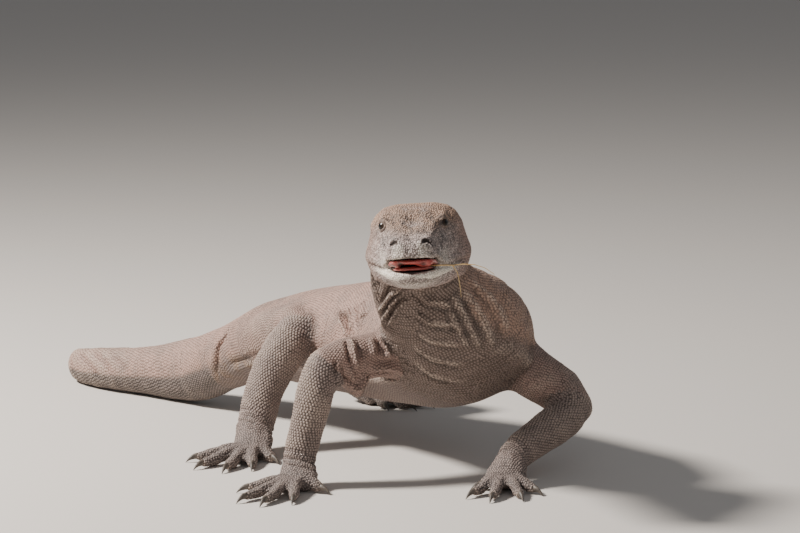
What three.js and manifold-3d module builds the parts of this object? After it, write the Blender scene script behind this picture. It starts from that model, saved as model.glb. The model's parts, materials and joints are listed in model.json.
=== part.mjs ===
// A komodo dragon at life size, standing with its head raised and turned to its right.
// Millimetres. The animal faces -Y, its left side is +X, and it stands on z = 0.
// Each part of the flesh is a smooth run of oval sections along a bending line, and thin
// gaps part it where a keeper would name its pieces. Claws, eyes and tongue are pieces too.
import * as THREE from "three";
import { ParametricGeometry } from "three/addons/geometries/ParametricGeometry.js";
import { mergeVertices } from "three/addons/utils/BufferGeometryUtils.js";
import Module from "manifold-3d";

const wasm = await Module();
wasm.setup();

// Driving dimensions.
const GAP = 0.4;
const LIMB_GAP = 1;
const HEAD_LENGTH = 208;
const HEAD_HALF_WIDTH = 77;
const EYE_RADIUS = 9.5;
const SHOULDER_HALF_WIDTH = 126;
const BELLY_HALF_WIDTH = 113;
const HIP_HALF_WIDTH = 66;
const TAIL_ROOT_HALF_WIDTH = 54;
const TOE_RADIUS = 10.2;
const HIND_TOE_RADIUS = 11;
const CLAW_LENGTH = 24;
const CLAW_RADIUS = 4.6;
const CLAW_CLEARANCE = 0.8;

// How the head sits on the neck, in degrees: turned to the animal's right, nose down, tilted.
const HEAD_TURN = 39.5;
const HEAD_NOD = -2;
const HEAD_TILT = 4;
const NAPE = [-148, -113, 378];

const radians = THREE.MathUtils.degToRad;
const vector = (at) => new THREE.Vector3(...at);

const hide = new THREE.MeshStandardMaterial({ color: 0x8a7c70, roughness: 0.85, metalness: 0 });
const lining = new THREE.MeshStandardMaterial({ color: 0xa84a44, roughness: 0.45, metalness: 0 });
const tonguePale = new THREE.MeshStandardMaterial({ color: 0xc7a35c, roughness: 0.5, metalness: 0 });
const horn = new THREE.MeshStandardMaterial({ color: 0x3a322c, roughness: 0.5, metalness: 0 });
const eyeDark = new THREE.MeshStandardMaterial({ color: 0x1c120c, roughness: 0.1, metalness: 0 });

// ---------------------------------------------------------------- solids and sections

// A closed three.js geometry as a manifold-3d solid.
function toSolid(geometry) {
  const bare = geometry.clone();
  for (const name of ["normal", "uv"]) bare.deleteAttribute(name);
  const merged = mergeVertices(bare, 1e-3);
  const corners = merged.index.array;
  const kept = [];
  for (let i = 0; i < corners.length; i += 3) {
    const [a, b, c] = corners.slice(i, i + 3);
    if (a !== b && b !== c && c !== a) kept.push(a, b, c);
  }
  return new wasm.Manifold(
    new wasm.Mesh({
      numProp: 3,
      vertProperties: merged.attributes.position.array,
      triVerts: new Uint32Array(kept),
    }),
  );
}

// A manifold-3d solid as a named three.js mesh.
function toMesh(name, solid, material) {
  const made = solid.getMesh();
  const geometry = new THREE.BufferGeometry();
  geometry.setAttribute("position", new THREE.BufferAttribute(made.vertProperties, 3));
  geometry.setIndex(new THREE.BufferAttribute(made.triVerts, 1));
  geometry.computeVertexNormals();
  const mesh = new THREE.Mesh(geometry, material);
  mesh.name = name;
  return mesh;
}

const SLOPE_STEP = 0.5;

// A form is the line and the oval sections of one length of flesh. Each station gives its
// centre, the half width to each side, the height above and the depth below the centre, the
// direction of its side, how boxy its upper and lower halves are (2 is a true oval), and by what
// share it narrows towards its top. With facing, all sections face that one way and distances
// are measured along it.
function makeForm(stations, { tip = 0, facing = null } = {}) {
  const along = [0];
  for (let i = 1; i < stations.length; i++) {
    const stride = vector(stations[i].at).sub(vector(stations[i - 1].at));
    along.push(along[i - 1] + (facing ? stride.dot(facing) : stride.length()));
  }
  const values = stations.flatMap((station) => [
    ...station.at,
    station.wide,
    station.above,
    station.below,
    ...(station.side ?? [1, 0, 0]),
    station.roof ?? 2,
    station.keel ?? 2,
    station.taper ?? 0,
  ]);
  const blend = new THREE.CubicInterpolant(along, values, values.length / stations.length);
  const length = along[along.length - 1];

  function section(t) {
    const [x, y, z, wide, above, below, sx, sy, sz, roof, keel, taper] = blend.evaluate(t);
    const before = new THREE.Vector3(...blend.evaluate(Math.max(t - SLOPE_STEP, 0)));
    const after = new THREE.Vector3(...blend.evaluate(Math.min(t + SLOPE_STEP, length)));
    const ahead = facing ? facing.clone() : after.sub(before).normalize();
    const side = new THREE.Vector3(sx, sy, sz);
    side.addScaledVector(ahead, -ahead.dot(side)).normalize();
    const up = new THREE.Vector3().crossVectors(ahead, side);
    const past = tip ? (t - (length - tip)) / tip : 0;
    const dome = past > 0 ? Math.sqrt(Math.max(1 - past * past, 0)) : 1;
    const centre = new THREE.Vector3(x, y, z);
    return { centre, ahead, side, up, wide, above, below, roof, keel, taper, dome };
  }
  return { length, tip, along, section };
}

// One length of a form as a closed solid, from one distance along it to another, with flat ends
// or with the form's round tip. Grow makes it thicker all round.
function flesh(form, { from = 0, to = form.length, rings = 8, sides = 16, grow = 0 } = {}) {
  const domed = form.tip > 0 && to >= form.length;
  const domeRings = domed ? 3 : 0;
  const straightEnd = domed ? form.length - form.tip : to;
  const cuts = [];
  for (let i = 0; i <= rings; i++) cuts.push(from + ((straightEnd - from) * i) / rings);
  for (let i = 1; i <= domeRings; i++) {
    cuts.push(straightEnd + form.tip * Math.sin(((i - 0.3) / domeRings) * (Math.PI / 2)));
  }
  const sections = cuts.map((t) => form.section(t));
  const last = sections.length - 1;
  const stacks = last + 2;
  const place = (u, v, target) => {
    const k = Math.round(v * stacks);
    const cut = sections[Math.min(Math.max(k - 1, 0), last)];
    target.copy(cut.centre);
    if (k === 0 || k === stacks) {
      if (k === stacks && domed) target.copy(form.section(form.length).centre);
      return;
    }
    const angle = 2 * Math.PI * (u === 1 ? 0 : u);
    const [across, rise] = [Math.cos(angle), Math.sin(angle)];
    const power = 2 / (rise > 0 ? cut.roof : cut.keel);
    const height = rise > 0 ? cut.above : cut.below;
    const narrowing = rise > 0 ? 1 - cut.taper * rise ** power : 1;
    const sideways = Math.sign(across) * Math.abs(across) ** power * (cut.wide + grow) * narrowing;
    const upward = Math.sign(rise) * Math.abs(rise) ** power * (height + grow);
    target.addScaledVector(cut.side, sideways * cut.dome);
    target.addScaledVector(cut.up, upward * cut.dome);
  };
  return toSolid(new ParametricGeometry(place, sides, stacks));
}

// A ball stretched to three radii along the given axes.
function lump(at, radii, axes, { around = 12, down = 8 } = {}) {
  const ball = new THREE.SphereGeometry(1, around, down);
  const [a, b, c] = axes.map((axis, i) => axis.clone().multiplyScalar(radii[i]));
  ball.applyMatrix4(new THREE.Matrix4().makeBasis(a, b, c).setPosition(...at));
  return toSolid(ball);
}

// The largest of the bodies that a cut leaves, once points that all but touch are one.
function largest(solid) {
  const merged = toSolid(toMesh("cut", solid, hide).geometry);
  return merged.decompose().sort((a, b) => b.volume() - a.volume())[0];
}

// All space on one side of a plane, as a large block.
const REACH = 3000;
function halfSpace(point, normal) {
  const block = new THREE.BoxGeometry(REACH, REACH, REACH).translate(0, 0, REACH / 2);
  const turn = new THREE.Quaternion().setFromUnitVectors(new THREE.Vector3(0, 0, 1), normal);
  block.applyQuaternion(turn).translate(point.x, point.y, point.z);
  return toSolid(block);
}

// All space ahead of a form's section at a distance along it, or from a little before it.
function aheadOf(form, t, setBack) {
  const { centre, ahead } = form.section(t);
  return halfSpace(centre.addScaledVector(ahead, -setBack), ahead);
}

const aboveGround = halfSpace(new THREE.Vector3(), new THREE.Vector3(0, 0, 1));
const dragon = new THREE.Group();

// ---------------------------------------------------------------- neck, trunk and tail

const headAxes = (() => {
  const [turn, nod, tilt] = [HEAD_TURN, HEAD_NOD, HEAD_TILT].map(radians);
  const ahead = new THREE.Vector3(-Math.sin(turn), -Math.cos(turn), Math.tan(nod)).normalize();
  const level = new THREE.Vector3(Math.cos(turn), -Math.sin(turn), 0);
  const risen = new THREE.Vector3().crossVectors(ahead, level);
  const left = level.multiplyScalar(Math.cos(tilt)).addScaledVector(risen, Math.sin(tilt));
  const up = new THREE.Vector3().crossVectors(ahead, left);
  return { left, ahead, up };
})();

// A place on the head: to its left, ahead of the nape, and above the head's middle line.
function onHead(left, ahead, up) {
  const place = vector(NAPE).addScaledVector(headAxes.left, left);
  place.addScaledVector(headAxes.ahead, ahead).addScaledVector(headAxes.up, up);
  return place.toArray();
}

const LEFT_OF_NECK = [0.76, -0.65, 0.03];
const bodyStations = {
  tail_tip: { at: [722, 760, 4], wide: 3, above: 4, below: 5, side: [-0.5, -0.86, 0] },
  tail_whip: { at: [550, 852, 9], wide: 7, above: 8, below: 11, side: [-0.5, -0.86, 0] },
  tail_far: { at: [276, 980, 15], wide: 13, above: 17, below: 17, side: [-0.3, -0.95, 0] },
  tail_return: { at: [92, 1030, 19], wide: 18, above: 23, below: 21, side: [-0.1, -1, 0] },
  tail_bend: { at: [-12, 1042, 23], wide: 22, above: 27, below: 25, side: [0.25, -0.97, 0] },
  tail_hook: { at: [-90, 1000, 29], wide: 26, above: 33, below: 31, side: [0.9, -0.4, 0] },
  tail_ground: { at: [-98, 914, 36], wide: 31, above: 38, below: 38, side: [1, 0.1, 0] },
  tail_low: { at: [-66, 802, 45], wide: 39, above: 45, below: 46, side: [0.95, 0.3, 0] },
  tail_fall: { at: [-38, 690, 61], wide: 48, above: 58, below: 60, side: [0.98, 0.2, 0] },
  tail_root: { at: [-29, 598, 91], wide: TAIL_ROOT_HALF_WIDTH, above: 58, below: 58, side: [0.98, 0.16, 0] },
  hips: { at: [-12, 486, 136], wide: HIP_HALF_WIDTH, above: 66, below: 66, side: [0.98, 0.2, 0], roof: 2.1 },
  loins: { at: [12, 400, 151], wide: 86, above: 80, below: 81, side: [0.98, 0.16, 0], roof: 2.1, keel: 2.2 },
  belly: { at: [27, 300, 163], wide: 105, above: 92, below: 93, roof: 2.1, keel: 2.3 },
  ribs: { at: [30, 200, 172], wide: BELLY_HALF_WIDTH, above: 100, below: 99, roof: 2.1, keel: 2.3 },
  chest: { at: [23, 100, 183], wide: 116, above: 101, below: 101, side: [0.99, -0.1, 0], roof: 2.1, keel: 2.3 },
  shoulders: { at: [4, 0, 198], wide: SHOULDER_HALF_WIDTH, above: 92, below: 100, side: [0.95, -0.3, 0] },
  neck_root: { at: [-34, -50, 240], wide: 115, above: 74, below: 90, side: [0.84, -0.54, 0.02] },
  neck_middle: { at: [-100, -70, 297], wide: 89, above: 50, below: 80, side: LEFT_OF_NECK },
  neck_top: { at: [-139, -91, 350], wide: 74, above: 43, below: 66, side: LEFT_OF_NECK },
  nape: { at: onHead(0, -4, 0), wide: 71, above: 56, below: 64, roof: 3, keel: 2.2, taper: 0.12 },
  throat: { at: onHead(0, 34, -4), wide: 68, above: 56, below: 51, roof: 3, keel: 2.2, taper: 0.12 },
  inside_head: { at: onHead(0, 70, -10), wide: 40, above: 25, below: 26, roof: 2, keel: 2 },
};
for (const name of ["nape", "throat", "inside_head"]) {
  bodyStations[name].side = headAxes.left.toArray();
}

const stationNames = Object.keys(bodyStations);
const bodyForm = makeForm(Object.values(bodyStations));
const distanceTo = (name) => bodyForm.along[stationNames.indexOf(name)];

// The pieces from the tail tip to the nape: name, station it ends at, rings, sides.
const bodyPieces = [
  ["tail_5", "tail_far", 7, 8],
  ["tail_4", "tail_bend", 7, 12],
  ["tail_3", "tail_ground", 8, 14],
  ["tail_2", "tail_fall", 7, 16],
  ["tail_1", "tail_root", 4, 18],
  ["pelvis", "loins", 6, 20],
  ["abdomen", "ribs", 6, 22],
  ["chest", "shoulders", 6, 22],
  ["neck", "inside_head", 10, 22],
];
const fleshOfBody = {};
let trunkForLimbs = null;
let start = 0;
for (const [name, endStation, rings, sides] of bodyPieces) {
  const end = distanceTo(endStation);
  let solid = flesh(bodyForm, { from: start, to: end - (name === "neck" ? 0 : GAP), rings, sides });
  if (name.startsWith("tail")) solid = solid.intersect(aboveGround);
  // The body bends sharply at the throat, so there both pieces end on parallel planes.
  if (name === "neck") solid = solid.intersect(aheadOf(bodyForm, start, 0));
  if (name === "chest") solid = solid.subtract(aheadOf(bodyForm, end, GAP));
  fleshOfBody[name] = solid;
  // The same length grown by the gap; all of them joined are what the limbs are cut back to.
  // The piece itself is added too, for the folds on the inside of a sharp bend.
  const grown = flesh(bodyForm, { from: start, to: end, rings, sides, grow: LIMB_GAP }).add(solid);
  trunkForLimbs = trunkForLimbs ? trunkForLimbs.add(grown) : grown;
  start = end;
}

// ---------------------------------------------------------------- head

const headSide = headAxes.left.toArray();
const inHead = (ahead, level, rest) => ({ at: onHead(0, ahead, level), side: headSide, ...rest });
const skullForm = makeForm(
  [
    inHead(-8, -7, { wide: 74, above: 66, below: 4, roof: 3.9, keel: 4, taper: 0.15 }),
    inHead(20, -9, { wide: HEAD_HALF_WIDTH, above: 74, below: 4, roof: 4.2, keel: 4, taper: 0.16 }),
    inHead(60, -12, { wide: 73, above: 79, below: 4, roof: 4.2, keel: 4, taper: 0.15 }),
    inHead(100, -11, { wide: 57, above: 72, below: 4, roof: 3.2, keel: 4, taper: 0.06 }),
    inHead(130, -9, { wide: 48, above: 63, below: 4, roof: 2.9, keel: 4 }),
    inHead(150, -2, { wide: 43, above: 51, below: 4, roof: 2.6, keel: 4 }),
    inHead(168, 9, { wide: 39, above: 36, below: 4, roof: 2.5, keel: 3 }),
    inHead(188, 14, { wide: 35, above: 27, below: 4, roof: 2.5, keel: 3 }),
    inHead(HEAD_LENGTH, 15, { wide: 31, above: 23, below: 4, roof: 2.3, keel: 3 }),
  ],
  { tip: 18, facing: headAxes.ahead },
);
const jawForm = makeForm(
  [
    inHead(-8, -15, { wide: 72, above: 3, below: 41, roof: 4, keel: 2.4 }),
    inHead(20, -17.2, { wide: 75, above: 3, below: 41, roof: 4, keel: 2.4 }),
    inHead(60, -20.2, { wide: 71, above: 3, below: 37, roof: 4, keel: 2.3 }),
    inHead(100, -19.2, { wide: 57, above: 3, below: 32, roof: 4, keel: 2.2 }),
    inHead(130, -17.4, { wide: 47, above: 3, below: 28, roof: 4, keel: 2.1 }),
    inHead(160, -14.6, { wide: 39, above: 3, below: 24, roof: 4, keel: 2 }),
    inHead(182, -12, { wide: 33, above: 3, below: 21, roof: 4, keel: 2 }),
    inHead(HEAD_LENGTH - 6, -11, { wide: 27, above: 3, below: 19, roof: 4, keel: 2 }),
  ],
  { tip: 17, facing: headAxes.ahead },
);

const EYE_PLACE = { left: 41, ahead: 101, up: 45 };
const NOSTRIL = { left: 26, ahead: 195, up: 31, radii: [6, 5, 4] };
let skull = flesh(skullForm, { from: GAP, rings: 12, sides: 18 });
const jaw = flesh(jawForm, { from: GAP, rings: 10, sides: 16 });
const axes = [headAxes.ahead, headAxes.left, headAxes.up];
for (const hand of [-1, 1]) {
  const eyeAt = onHead(hand * EYE_PLACE.left, EYE_PLACE.ahead, EYE_PLACE.up);
  const socket = lump(eyeAt, Array(3).fill(EYE_RADIUS + GAP), axes, { around: 10, down: 6 });
  const nostril = lump(onHead(hand * NOSTRIL.left, NOSTRIL.ahead, NOSTRIL.up), NOSTRIL.radii, axes, {
    around: 6,
    down: 4,
  });
  skull = skull.subtract(socket).subtract(nostril);
  const eye = lump(eyeAt, Array(3).fill(EYE_RADIUS), axes, { around: 10, down: 6 });
  dragon.add(toMesh(hand < 0 ? "eye_right" : "eye_left", eye, eyeDark));
}
dragon.add(toMesh("head", skull, hide));
dragon.add(toMesh("lower_jaw", jaw, hide));

// The neck runs on inside the head, so the back of the head and jaw, a little grown, are cut
// from it.
const headInNeck = { to: 90, rings: 3, grow: 1.4 };
const skullInNeck = flesh(skullForm, { ...headInNeck, sides: 18 });
const jawInNeck = flesh(jawForm, { ...headInNeck, sides: 16 });
fleshOfBody.neck = largest(fleshOfBody.neck.subtract(skullInNeck).subtract(jawInNeck));
for (const [name, solid] of Object.entries(fleshOfBody)) dragon.add(toMesh(name, solid, hide));

// The mouth's lining: gums and palate under the skull and a floor on the jaw, inside the lips.
// Each is a flat run of sections that follows the skull or the jaw and thins towards the throat.
const LINING_STEPS = 8;
const LINING_GAP = 0.8;
function makeLining(form, { from, to, inset, thick }) {
  const stations = [];
  for (let i = 0; i <= LINING_STEPS; i++) {
    const cut = form.section(from + ((to - from) * i) / LINING_STEPS);
    const half = thick * Math.min(0.3 + (1.4 * i) / LINING_STEPS, 1);
    const off = half + LINING_GAP;
    const level = form === skullForm ? -cut.below - off : cut.above + off;
    const at = cut.centre.clone().addScaledVector(cut.up, level).toArray();
    const wide = cut.wide - inset;
    stations.push({ at, side: cut.side.toArray(), wide, above: half, below: half, roof: 4, keel: 4 });
  }
  return makeForm(stations, { tip: 13, facing: headAxes.ahead });
}
const palateForm = makeLining(skullForm, { from: 150, to: 211, inset: 5, thick: 2.8 });
const floorForm = makeLining(jawForm, { from: 156, to: 203, inset: 6, thick: 1.7 });
dragon.add(toMesh("palate", flesh(palateForm, { rings: 5, sides: 12 }), lining));
dragon.add(toMesh("mouth_floor", flesh(floorForm, { rings: 3, sides: 12 }), lining));

// The tongue: a thin stem out of the left corner of the gape, and two loose tines.
const thread = (left, ahead, up, wide, thick) => ({
  at: onHead(left, ahead, up), side: headAxes.ahead.toArray(), wide, above: thick, below: thick,
});
const tongueStem = makeForm([
  thread(10, 167, -4.5, 3.4, 1.3),
  thread(24, 172, -4.2, 3, 1.3),
  thread(42, 178, -3.6, 2.4, 1.3),
  thread(60, 183, -4, 1.9, 1.3),
]);
const tineUp = makeForm([
  thread(56, 182, -3.8, 1.6, 1.2),
  thread(76, 186, -3, 1.2, 1),
  thread(98, 190, -6, 1, 0.9),
  thread(117, 195, -19, 0.7, 0.7),
]);
const tineDown = makeForm([
  thread(57, 182, -4.2, 1.6, 1.2),
  thread(63, 185, -12, 1.2, 1),
  thread(66, 187, -31, 1, 0.9),
  thread(67, 189, -50, 0.7, 0.7),
]);
const tongue = flesh(tongueStem, { rings: 4, sides: 6 })
  .add(flesh(tineUp, { rings: 4, sides: 5 }))
  .add(flesh(tineDown, { rings: 4, sides: 5 }));
dragon.add(toMesh("tongue", tongue, tonguePale));

// ---------------------------------------------------------------- legs, feet and claws

// A level direction, as an angle from straight ahead towards the animal's right.
function heading(degrees) {
  return new THREE.Vector3(-Math.sin(radians(degrees)), -Math.cos(radians(degrees)), 0);
}

// Height of the line through the roots of the toes.
const TOES_HEIGHT = 12;

// One leg: shoulder or hip inside the trunk, elbow or knee, wrist or ankle, then the palm. Its
// sections are widest across the plane in which it bends, and level at the palm. Bow moves the
// middle of the lower leg off the straight line.
function makeLeg({ root, joint, ankle, palm, aim, girth, bow = [0, 0, 0] }) {
  const [a, b, c] = [root, joint, ankle].map(vector);
  const hinge = new THREE.Vector3().crossVectors(b.clone().sub(a), c.clone().sub(b)).normalize();
  const level = new THREE.Vector3(0, 0, 1).cross(heading(aim));
  if (level.dot(hinge) < 0) level.negate();
  const side = hinge.toArray();
  const half = hinge.clone().add(level).normalize().toArray();
  const between = (p, q, k) => p.clone().lerp(q, k).toArray();
  const bowed = (k, share) => b.clone().lerp(c, k).addScaledVector(vector(bow), share).toArray();
  const flat = level.toArray();
  const instep = c.clone().lerp(vector(palm), 0.55).setZ(c.z * 0.62).toArray();
  const toes = vector(palm).addScaledVector(heading(aim), girth.palmLength).setZ(TOES_HEIGHT).toArray();
  const round = (r, squash = 1) => ({ wide: r, above: r * squash, below: r * squash });
  return makeForm(
    [
      { at: root, side, ...round(girth.root) },
      { at: between(a, b, 0.5), side, ...round(girth.upper) },
      { at: between(a, b, 0.88), side, ...round(girth.joint * 1.04) },
      { at: b.clone().lerp(vector(between(a, c, 0.5)), 0.12).toArray(), side, ...round(girth.joint) },
      { at: bowed(0.18, 0.7), side, ...round(girth.calf * 1.02) },
      { at: bowed(0.55, 1), side, ...round(girth.calf * 0.97) },
      { at: ankle, side: half, ...round(girth.ankle) },
      { at: instep, side: flat, wide: girth.palm * 0.9, above: 22, below: 24 },
      { at: palm, side: flat, wide: girth.palm, above: 17, below: 23 },
      { at: toes, side: flat, wide: girth.palm * 0.9, above: 13, below: 17 },
    ],
    { tip: girth.palmLength * 0.7 },
  );
}

// One toe with three low knuckles, from inside the palm to the root of its claw, and the claw,
// which curves down to just above the ground and adds this share of its length to the reach.
const CLAW_SHARE = 0.8;
function makeToe({ from, aim, reach, thick }) {
  const ahead = heading(aim);
  const side = new THREE.Vector3(0, 0, 1).cross(ahead).toArray();
  const fleshLength = reach - CLAW_LENGTH * CLAW_SHARE;
  const spot = (k, z) => vector(from).addScaledVector(ahead, fleshLength * k).setZ(z).toArray();
  const form = makeForm([
    { at: spot(-0.12, 15), side, wide: thick * 1.1, above: thick * 0.9, below: thick },
    { at: spot(0.22, 18), side, wide: thick * 1.05, above: thick * 1.05, below: thick },
    { at: spot(0.42, 16.5), side, wide: thick * 0.92, above: thick * 0.92, below: thick },
    { at: spot(0.62, 13), side, wide: thick, above: thick * 0.95, below: thick * 1.2 },
    { at: spot(0.84, 9), side, wide: thick * 0.9, above: thick * 0.8, below: thick * 1.15 },
    { at: spot(1, 8.5), side, wide: thick * 0.72, above: thick * 0.66, below: thick * 0.8 },
  ]);
  const nail = (k, z, r) => {
    const at = vector(spot(1, z)).addScaledVector(ahead, k).toArray();
    return { at, side, wide: r * 0.8, above: r, below: r };
  };
  const claw = makeForm([
    nail(GAP, 9.5, CLAW_RADIUS),
    nail(CLAW_LENGTH * 0.35, 10.5, CLAW_RADIUS * 0.86),
    nail(CLAW_LENGTH * 0.7, 7.2, CLAW_RADIUS * 0.55),
    nail(CLAW_LENGTH * 0.88, 2.4, CLAW_RADIUS * 0.22),
  ]);
  return { form, claw };
}

const foreGirth = { root: 46, upper: 36, joint: 32, calf: 28.5, ankle: 28, palm: 34, palmLength: 24 };
const hindGirth = { root: 48, upper: 43, joint: 35, calf: 34.5, ankle: 32, palm: 35, palmLength: 26 };
// Each toe is its aim, as a heading in degrees, and how far its claw reaches from the palm.
const legs = {
  fore_right: {
    root: [-62, 12, 192], joint: [-228, 24, 187], ankle: [-271, 26, 42], palm: [-287, 6, 18], aim: 55,
    girth: foreGirth,
    pouch: { at: [-187, 16, 145], radii: [31, 24, 42] },
    toes: [[-19, 64], [39, 108], [60, 132], [79, 132], [113, 97]],
  },
  fore_left: {
    root: [78, -22, 180], joint: [152, -123, 101], ankle: [2, -152, 42], palm: [-26, -167, 14], aim: 48,
    girth: { ...foreGirth, root: 46, upper: 41, joint: 37, calf: 31 },
    toes: [[106, 60], [74, 102], [50, 112], [22, 102], [-8, 82]],
  },
  hind_right: {
    root: [-34, 478, 138], joint: [-75, 297, 194], ankle: [-183, 280, 46], palm: [-213, 244, 19], aim: 52,
    girth: hindGirth,
    bow: [-13, 9, 0],
    toes: [[-4, 73], [34, 108], [55, 130], [79, 131], [107, 112]],
  },
  hind_left: {
    root: [30, 480, 136], joint: [166, 404, 160], ankle: [190, 545, 46], palm: [208, 510, 19], aim: -32,
    girth: hindGirth,
    toes: [[14, 84], [-10, 112], [-28, 124], [-46, 118], [-92, 90]],
  },
};

// The toes spread from a circle round the middle of the palm, this share of the palm's width.
const TOE_ROOT = 0.55;
const clearOfGround = halfSpace(new THREE.Vector3(0, 0, CLAW_CLEARANCE), new THREE.Vector3(0, 0, 1));
const POUCH_AXES = [new THREE.Vector3(1, 0, 0), new THREE.Vector3(0, 1, 0), new THREE.Vector3(0, 0, 1)];
for (const [name, leg] of Object.entries(legs)) {
  const form = makeLeg(leg);
  const [upperEnd, lowerEnd] = [form.along[3], form.along[6]];
  let upper = flesh(form, { to: upperEnd, rings: 5, sides: 12 });
  if (leg.pouch) upper = upper.add(lump(leg.pouch.at, leg.pouch.radii, POUCH_AXES, { around: 9, down: 6 }));
  upper = largest(upper.subtract(aheadOf(form, upperEnd, GAP)).subtract(trunkForLimbs));
  let lower = flesh(form, { from: upperEnd, to: lowerEnd, rings: 6, sides: 12 });
  lower = lower.intersect(aheadOf(form, upperEnd, 0)).subtract(aheadOf(form, lowerEnd, GAP));
  lower = largest(lower.subtract(trunkForLimbs));
  let foot = flesh(form, { from: lowerEnd, rings: 3, sides: 10 });
  foot = foot.intersect(aheadOf(form, lowerEnd, 0));
  const thick = name.startsWith("hind") ? HIND_TOE_RADIUS : TOE_RADIUS;
  const rootAt = leg.girth.palm * TOE_ROOT;
  const toes = leg.toes.map(([aim, reach]) => {
    const from = vector(leg.palm).addScaledVector(heading(aim), rootAt).toArray();
    return makeToe({ from, aim, reach: reach - rootAt, thick });
  });
  for (const toe of toes) foot = foot.add(flesh(toe.form, { rings: 4, sides: 6 }));
  foot = foot.intersect(aboveGround);
  const [upperName, lowerName] = name.startsWith("fore") ? ["upper_arm", "forearm"] : ["thigh", "shank"];
  dragon.add(toMesh(`${name}_${upperName}`, upper, hide));
  dragon.add(toMesh(`${name}_${lowerName}`, lower, hide));
  dragon.add(toMesh(`${name}_foot`, foot, hide));
  toes.forEach((toe, i) => {
    const beyondToe = aheadOf(toe.form, toe.form.length, -GAP);
    const claw = flesh(toe.claw, { rings: 3, sides: 4 }).intersect(beyondToe).intersect(clearOfGround);
    dragon.add(toMesh(`${name}_claw_${i + 1}`, claw, horn));
  });
}

// The origin lies on the ground, under the middle of the whole animal.
dragon.updateMatrixWorld(true);
const middle = new THREE.Box3().setFromObject(dragon).getCenter(new THREE.Vector3());
dragon.position.set(-middle.x, -middle.y, 0);

export default dragon;
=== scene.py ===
import json
import math
import bpy
import numpy as np
from mathutils import Matrix, Vector, noise
from mathutils.bvhtree import BVHTree
from mathutils.kdtree import KDTree

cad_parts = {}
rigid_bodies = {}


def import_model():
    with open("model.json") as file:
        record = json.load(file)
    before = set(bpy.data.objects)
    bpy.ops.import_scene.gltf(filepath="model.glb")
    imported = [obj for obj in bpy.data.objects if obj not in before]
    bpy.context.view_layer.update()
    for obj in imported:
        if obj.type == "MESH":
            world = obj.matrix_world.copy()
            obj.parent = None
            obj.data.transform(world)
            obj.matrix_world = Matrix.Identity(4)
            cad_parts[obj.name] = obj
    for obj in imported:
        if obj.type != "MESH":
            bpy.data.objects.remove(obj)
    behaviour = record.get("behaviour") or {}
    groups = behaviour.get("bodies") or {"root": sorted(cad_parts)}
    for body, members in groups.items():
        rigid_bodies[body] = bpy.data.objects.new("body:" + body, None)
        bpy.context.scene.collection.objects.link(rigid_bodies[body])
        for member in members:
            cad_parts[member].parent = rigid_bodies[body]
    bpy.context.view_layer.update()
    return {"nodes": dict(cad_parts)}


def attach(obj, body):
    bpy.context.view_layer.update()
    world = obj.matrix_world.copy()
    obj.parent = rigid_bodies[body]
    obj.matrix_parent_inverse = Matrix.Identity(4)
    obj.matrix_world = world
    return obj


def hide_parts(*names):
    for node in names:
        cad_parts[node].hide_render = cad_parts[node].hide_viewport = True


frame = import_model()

# ------------------------------------------------------------------------------------ camera
# A long lens stands about four and a half metres from the head, on the animal's right front,
# a little under a metre above the ground, and looks slightly down.

eye_point = (-2.919, -4.0315, 0.9795)
look_down = math.radians(8.2)
look_right = math.radians(36)
lens = bpy.data.cameras.new("long_lens")
lens.sensor_width = 36
lens.lens = 135
lens.clip_end = 100
camera = bpy.data.objects.new("camera", lens)
camera.location = eye_point
camera.rotation_euler = (math.pi / 2 - look_down, 0, -look_right)
bpy.context.scene.collection.objects.link(camera)
bpy.context.scene.camera = camera

# -------------------------------------------------------------------------------------- hide
# One skin covers the whole animal, from lips to toes and tail tip. It is the flesh of all the
# parts run together without a seam, drawn in by the depth of its scales, then worked with
# folds, muscles, lids and lips.

LEGS = ("fore_right", "fore_left", "hind_right", "hind_left")
LEG_PARTS = {"fore": ("upper_arm", "forearm", "foot"), "hind": ("thigh", "shank", "foot")}
TAIL = [f"tail_{i}" for i in range(1, 6)]


def parts_of(leg):
    return [f"{leg}_{part}" for part in LEG_PARTS[leg[:4]]]


flesh = ["head", "lower_jaw", "neck", "chest", "abdomen", "pelvis", *TAIL]
for leg in LEGS:
    flesh += parts_of(leg)
number_of = {name: i for i, name in enumerate(flesh)}
HEAD = number_of["head"]
JAW = number_of["lower_jaw"]


def numbers(names):
    return [number_of[name] for name in names]


def unpick():
    for each in bpy.context.scene.objects:
        each.select_set(False)


def pick(*objects):
    unpick()
    for each in objects:
        each.select_set(True)
    bpy.context.view_layer.objects.active = objects[0]


def edit(obj, kind):
    pick(obj)
    bpy.ops.object.mode_set(mode="EDIT")
    bpy.ops.mesh.select_mode(type=kind)


def finish_edit():
    bpy.ops.object.mode_set(mode="OBJECT")


def apply_modifier(obj, kind, **settings):
    pick(obj)
    modifier = obj.modifiers.new(kind.lower(), kind)
    for key, value in settings.items():
        setattr(modifier, key, value)
    bpy.ops.object.modifier_apply(modifier=modifier.name)


def copy_of(names, new_name):
    copies = []
    for name in names:
        twin = frame["nodes"][name].copy()
        twin.data = twin.data.copy()
        twin.parent = None
        twin.matrix_world = Matrix.Identity(4)
        bpy.context.scene.collection.objects.link(twin)
        copies.append(twin)
    pick(*copies)
    if len(copies) > 1:
        bpy.ops.object.join()
    obj = bpy.context.view_layer.objects.active
    obj.name = new_name
    obj.data.name = new_name
    edit(obj, "VERT")
    bpy.ops.mesh.select_all(action="SELECT")
    bpy.ops.mesh.remove_doubles(threshold=1e-6)
    finish_edit()
    obj.data.materials.clear()
    return obj


def rows_of(elements, key, width, kind=float):
    flat = np.empty(len(elements) * width, dtype=kind)
    elements.foreach_get(key, flat)
    return flat.reshape(-1, width)


def points_of(mesh):
    return rows_of(mesh.vertices, "co", 3)


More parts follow.
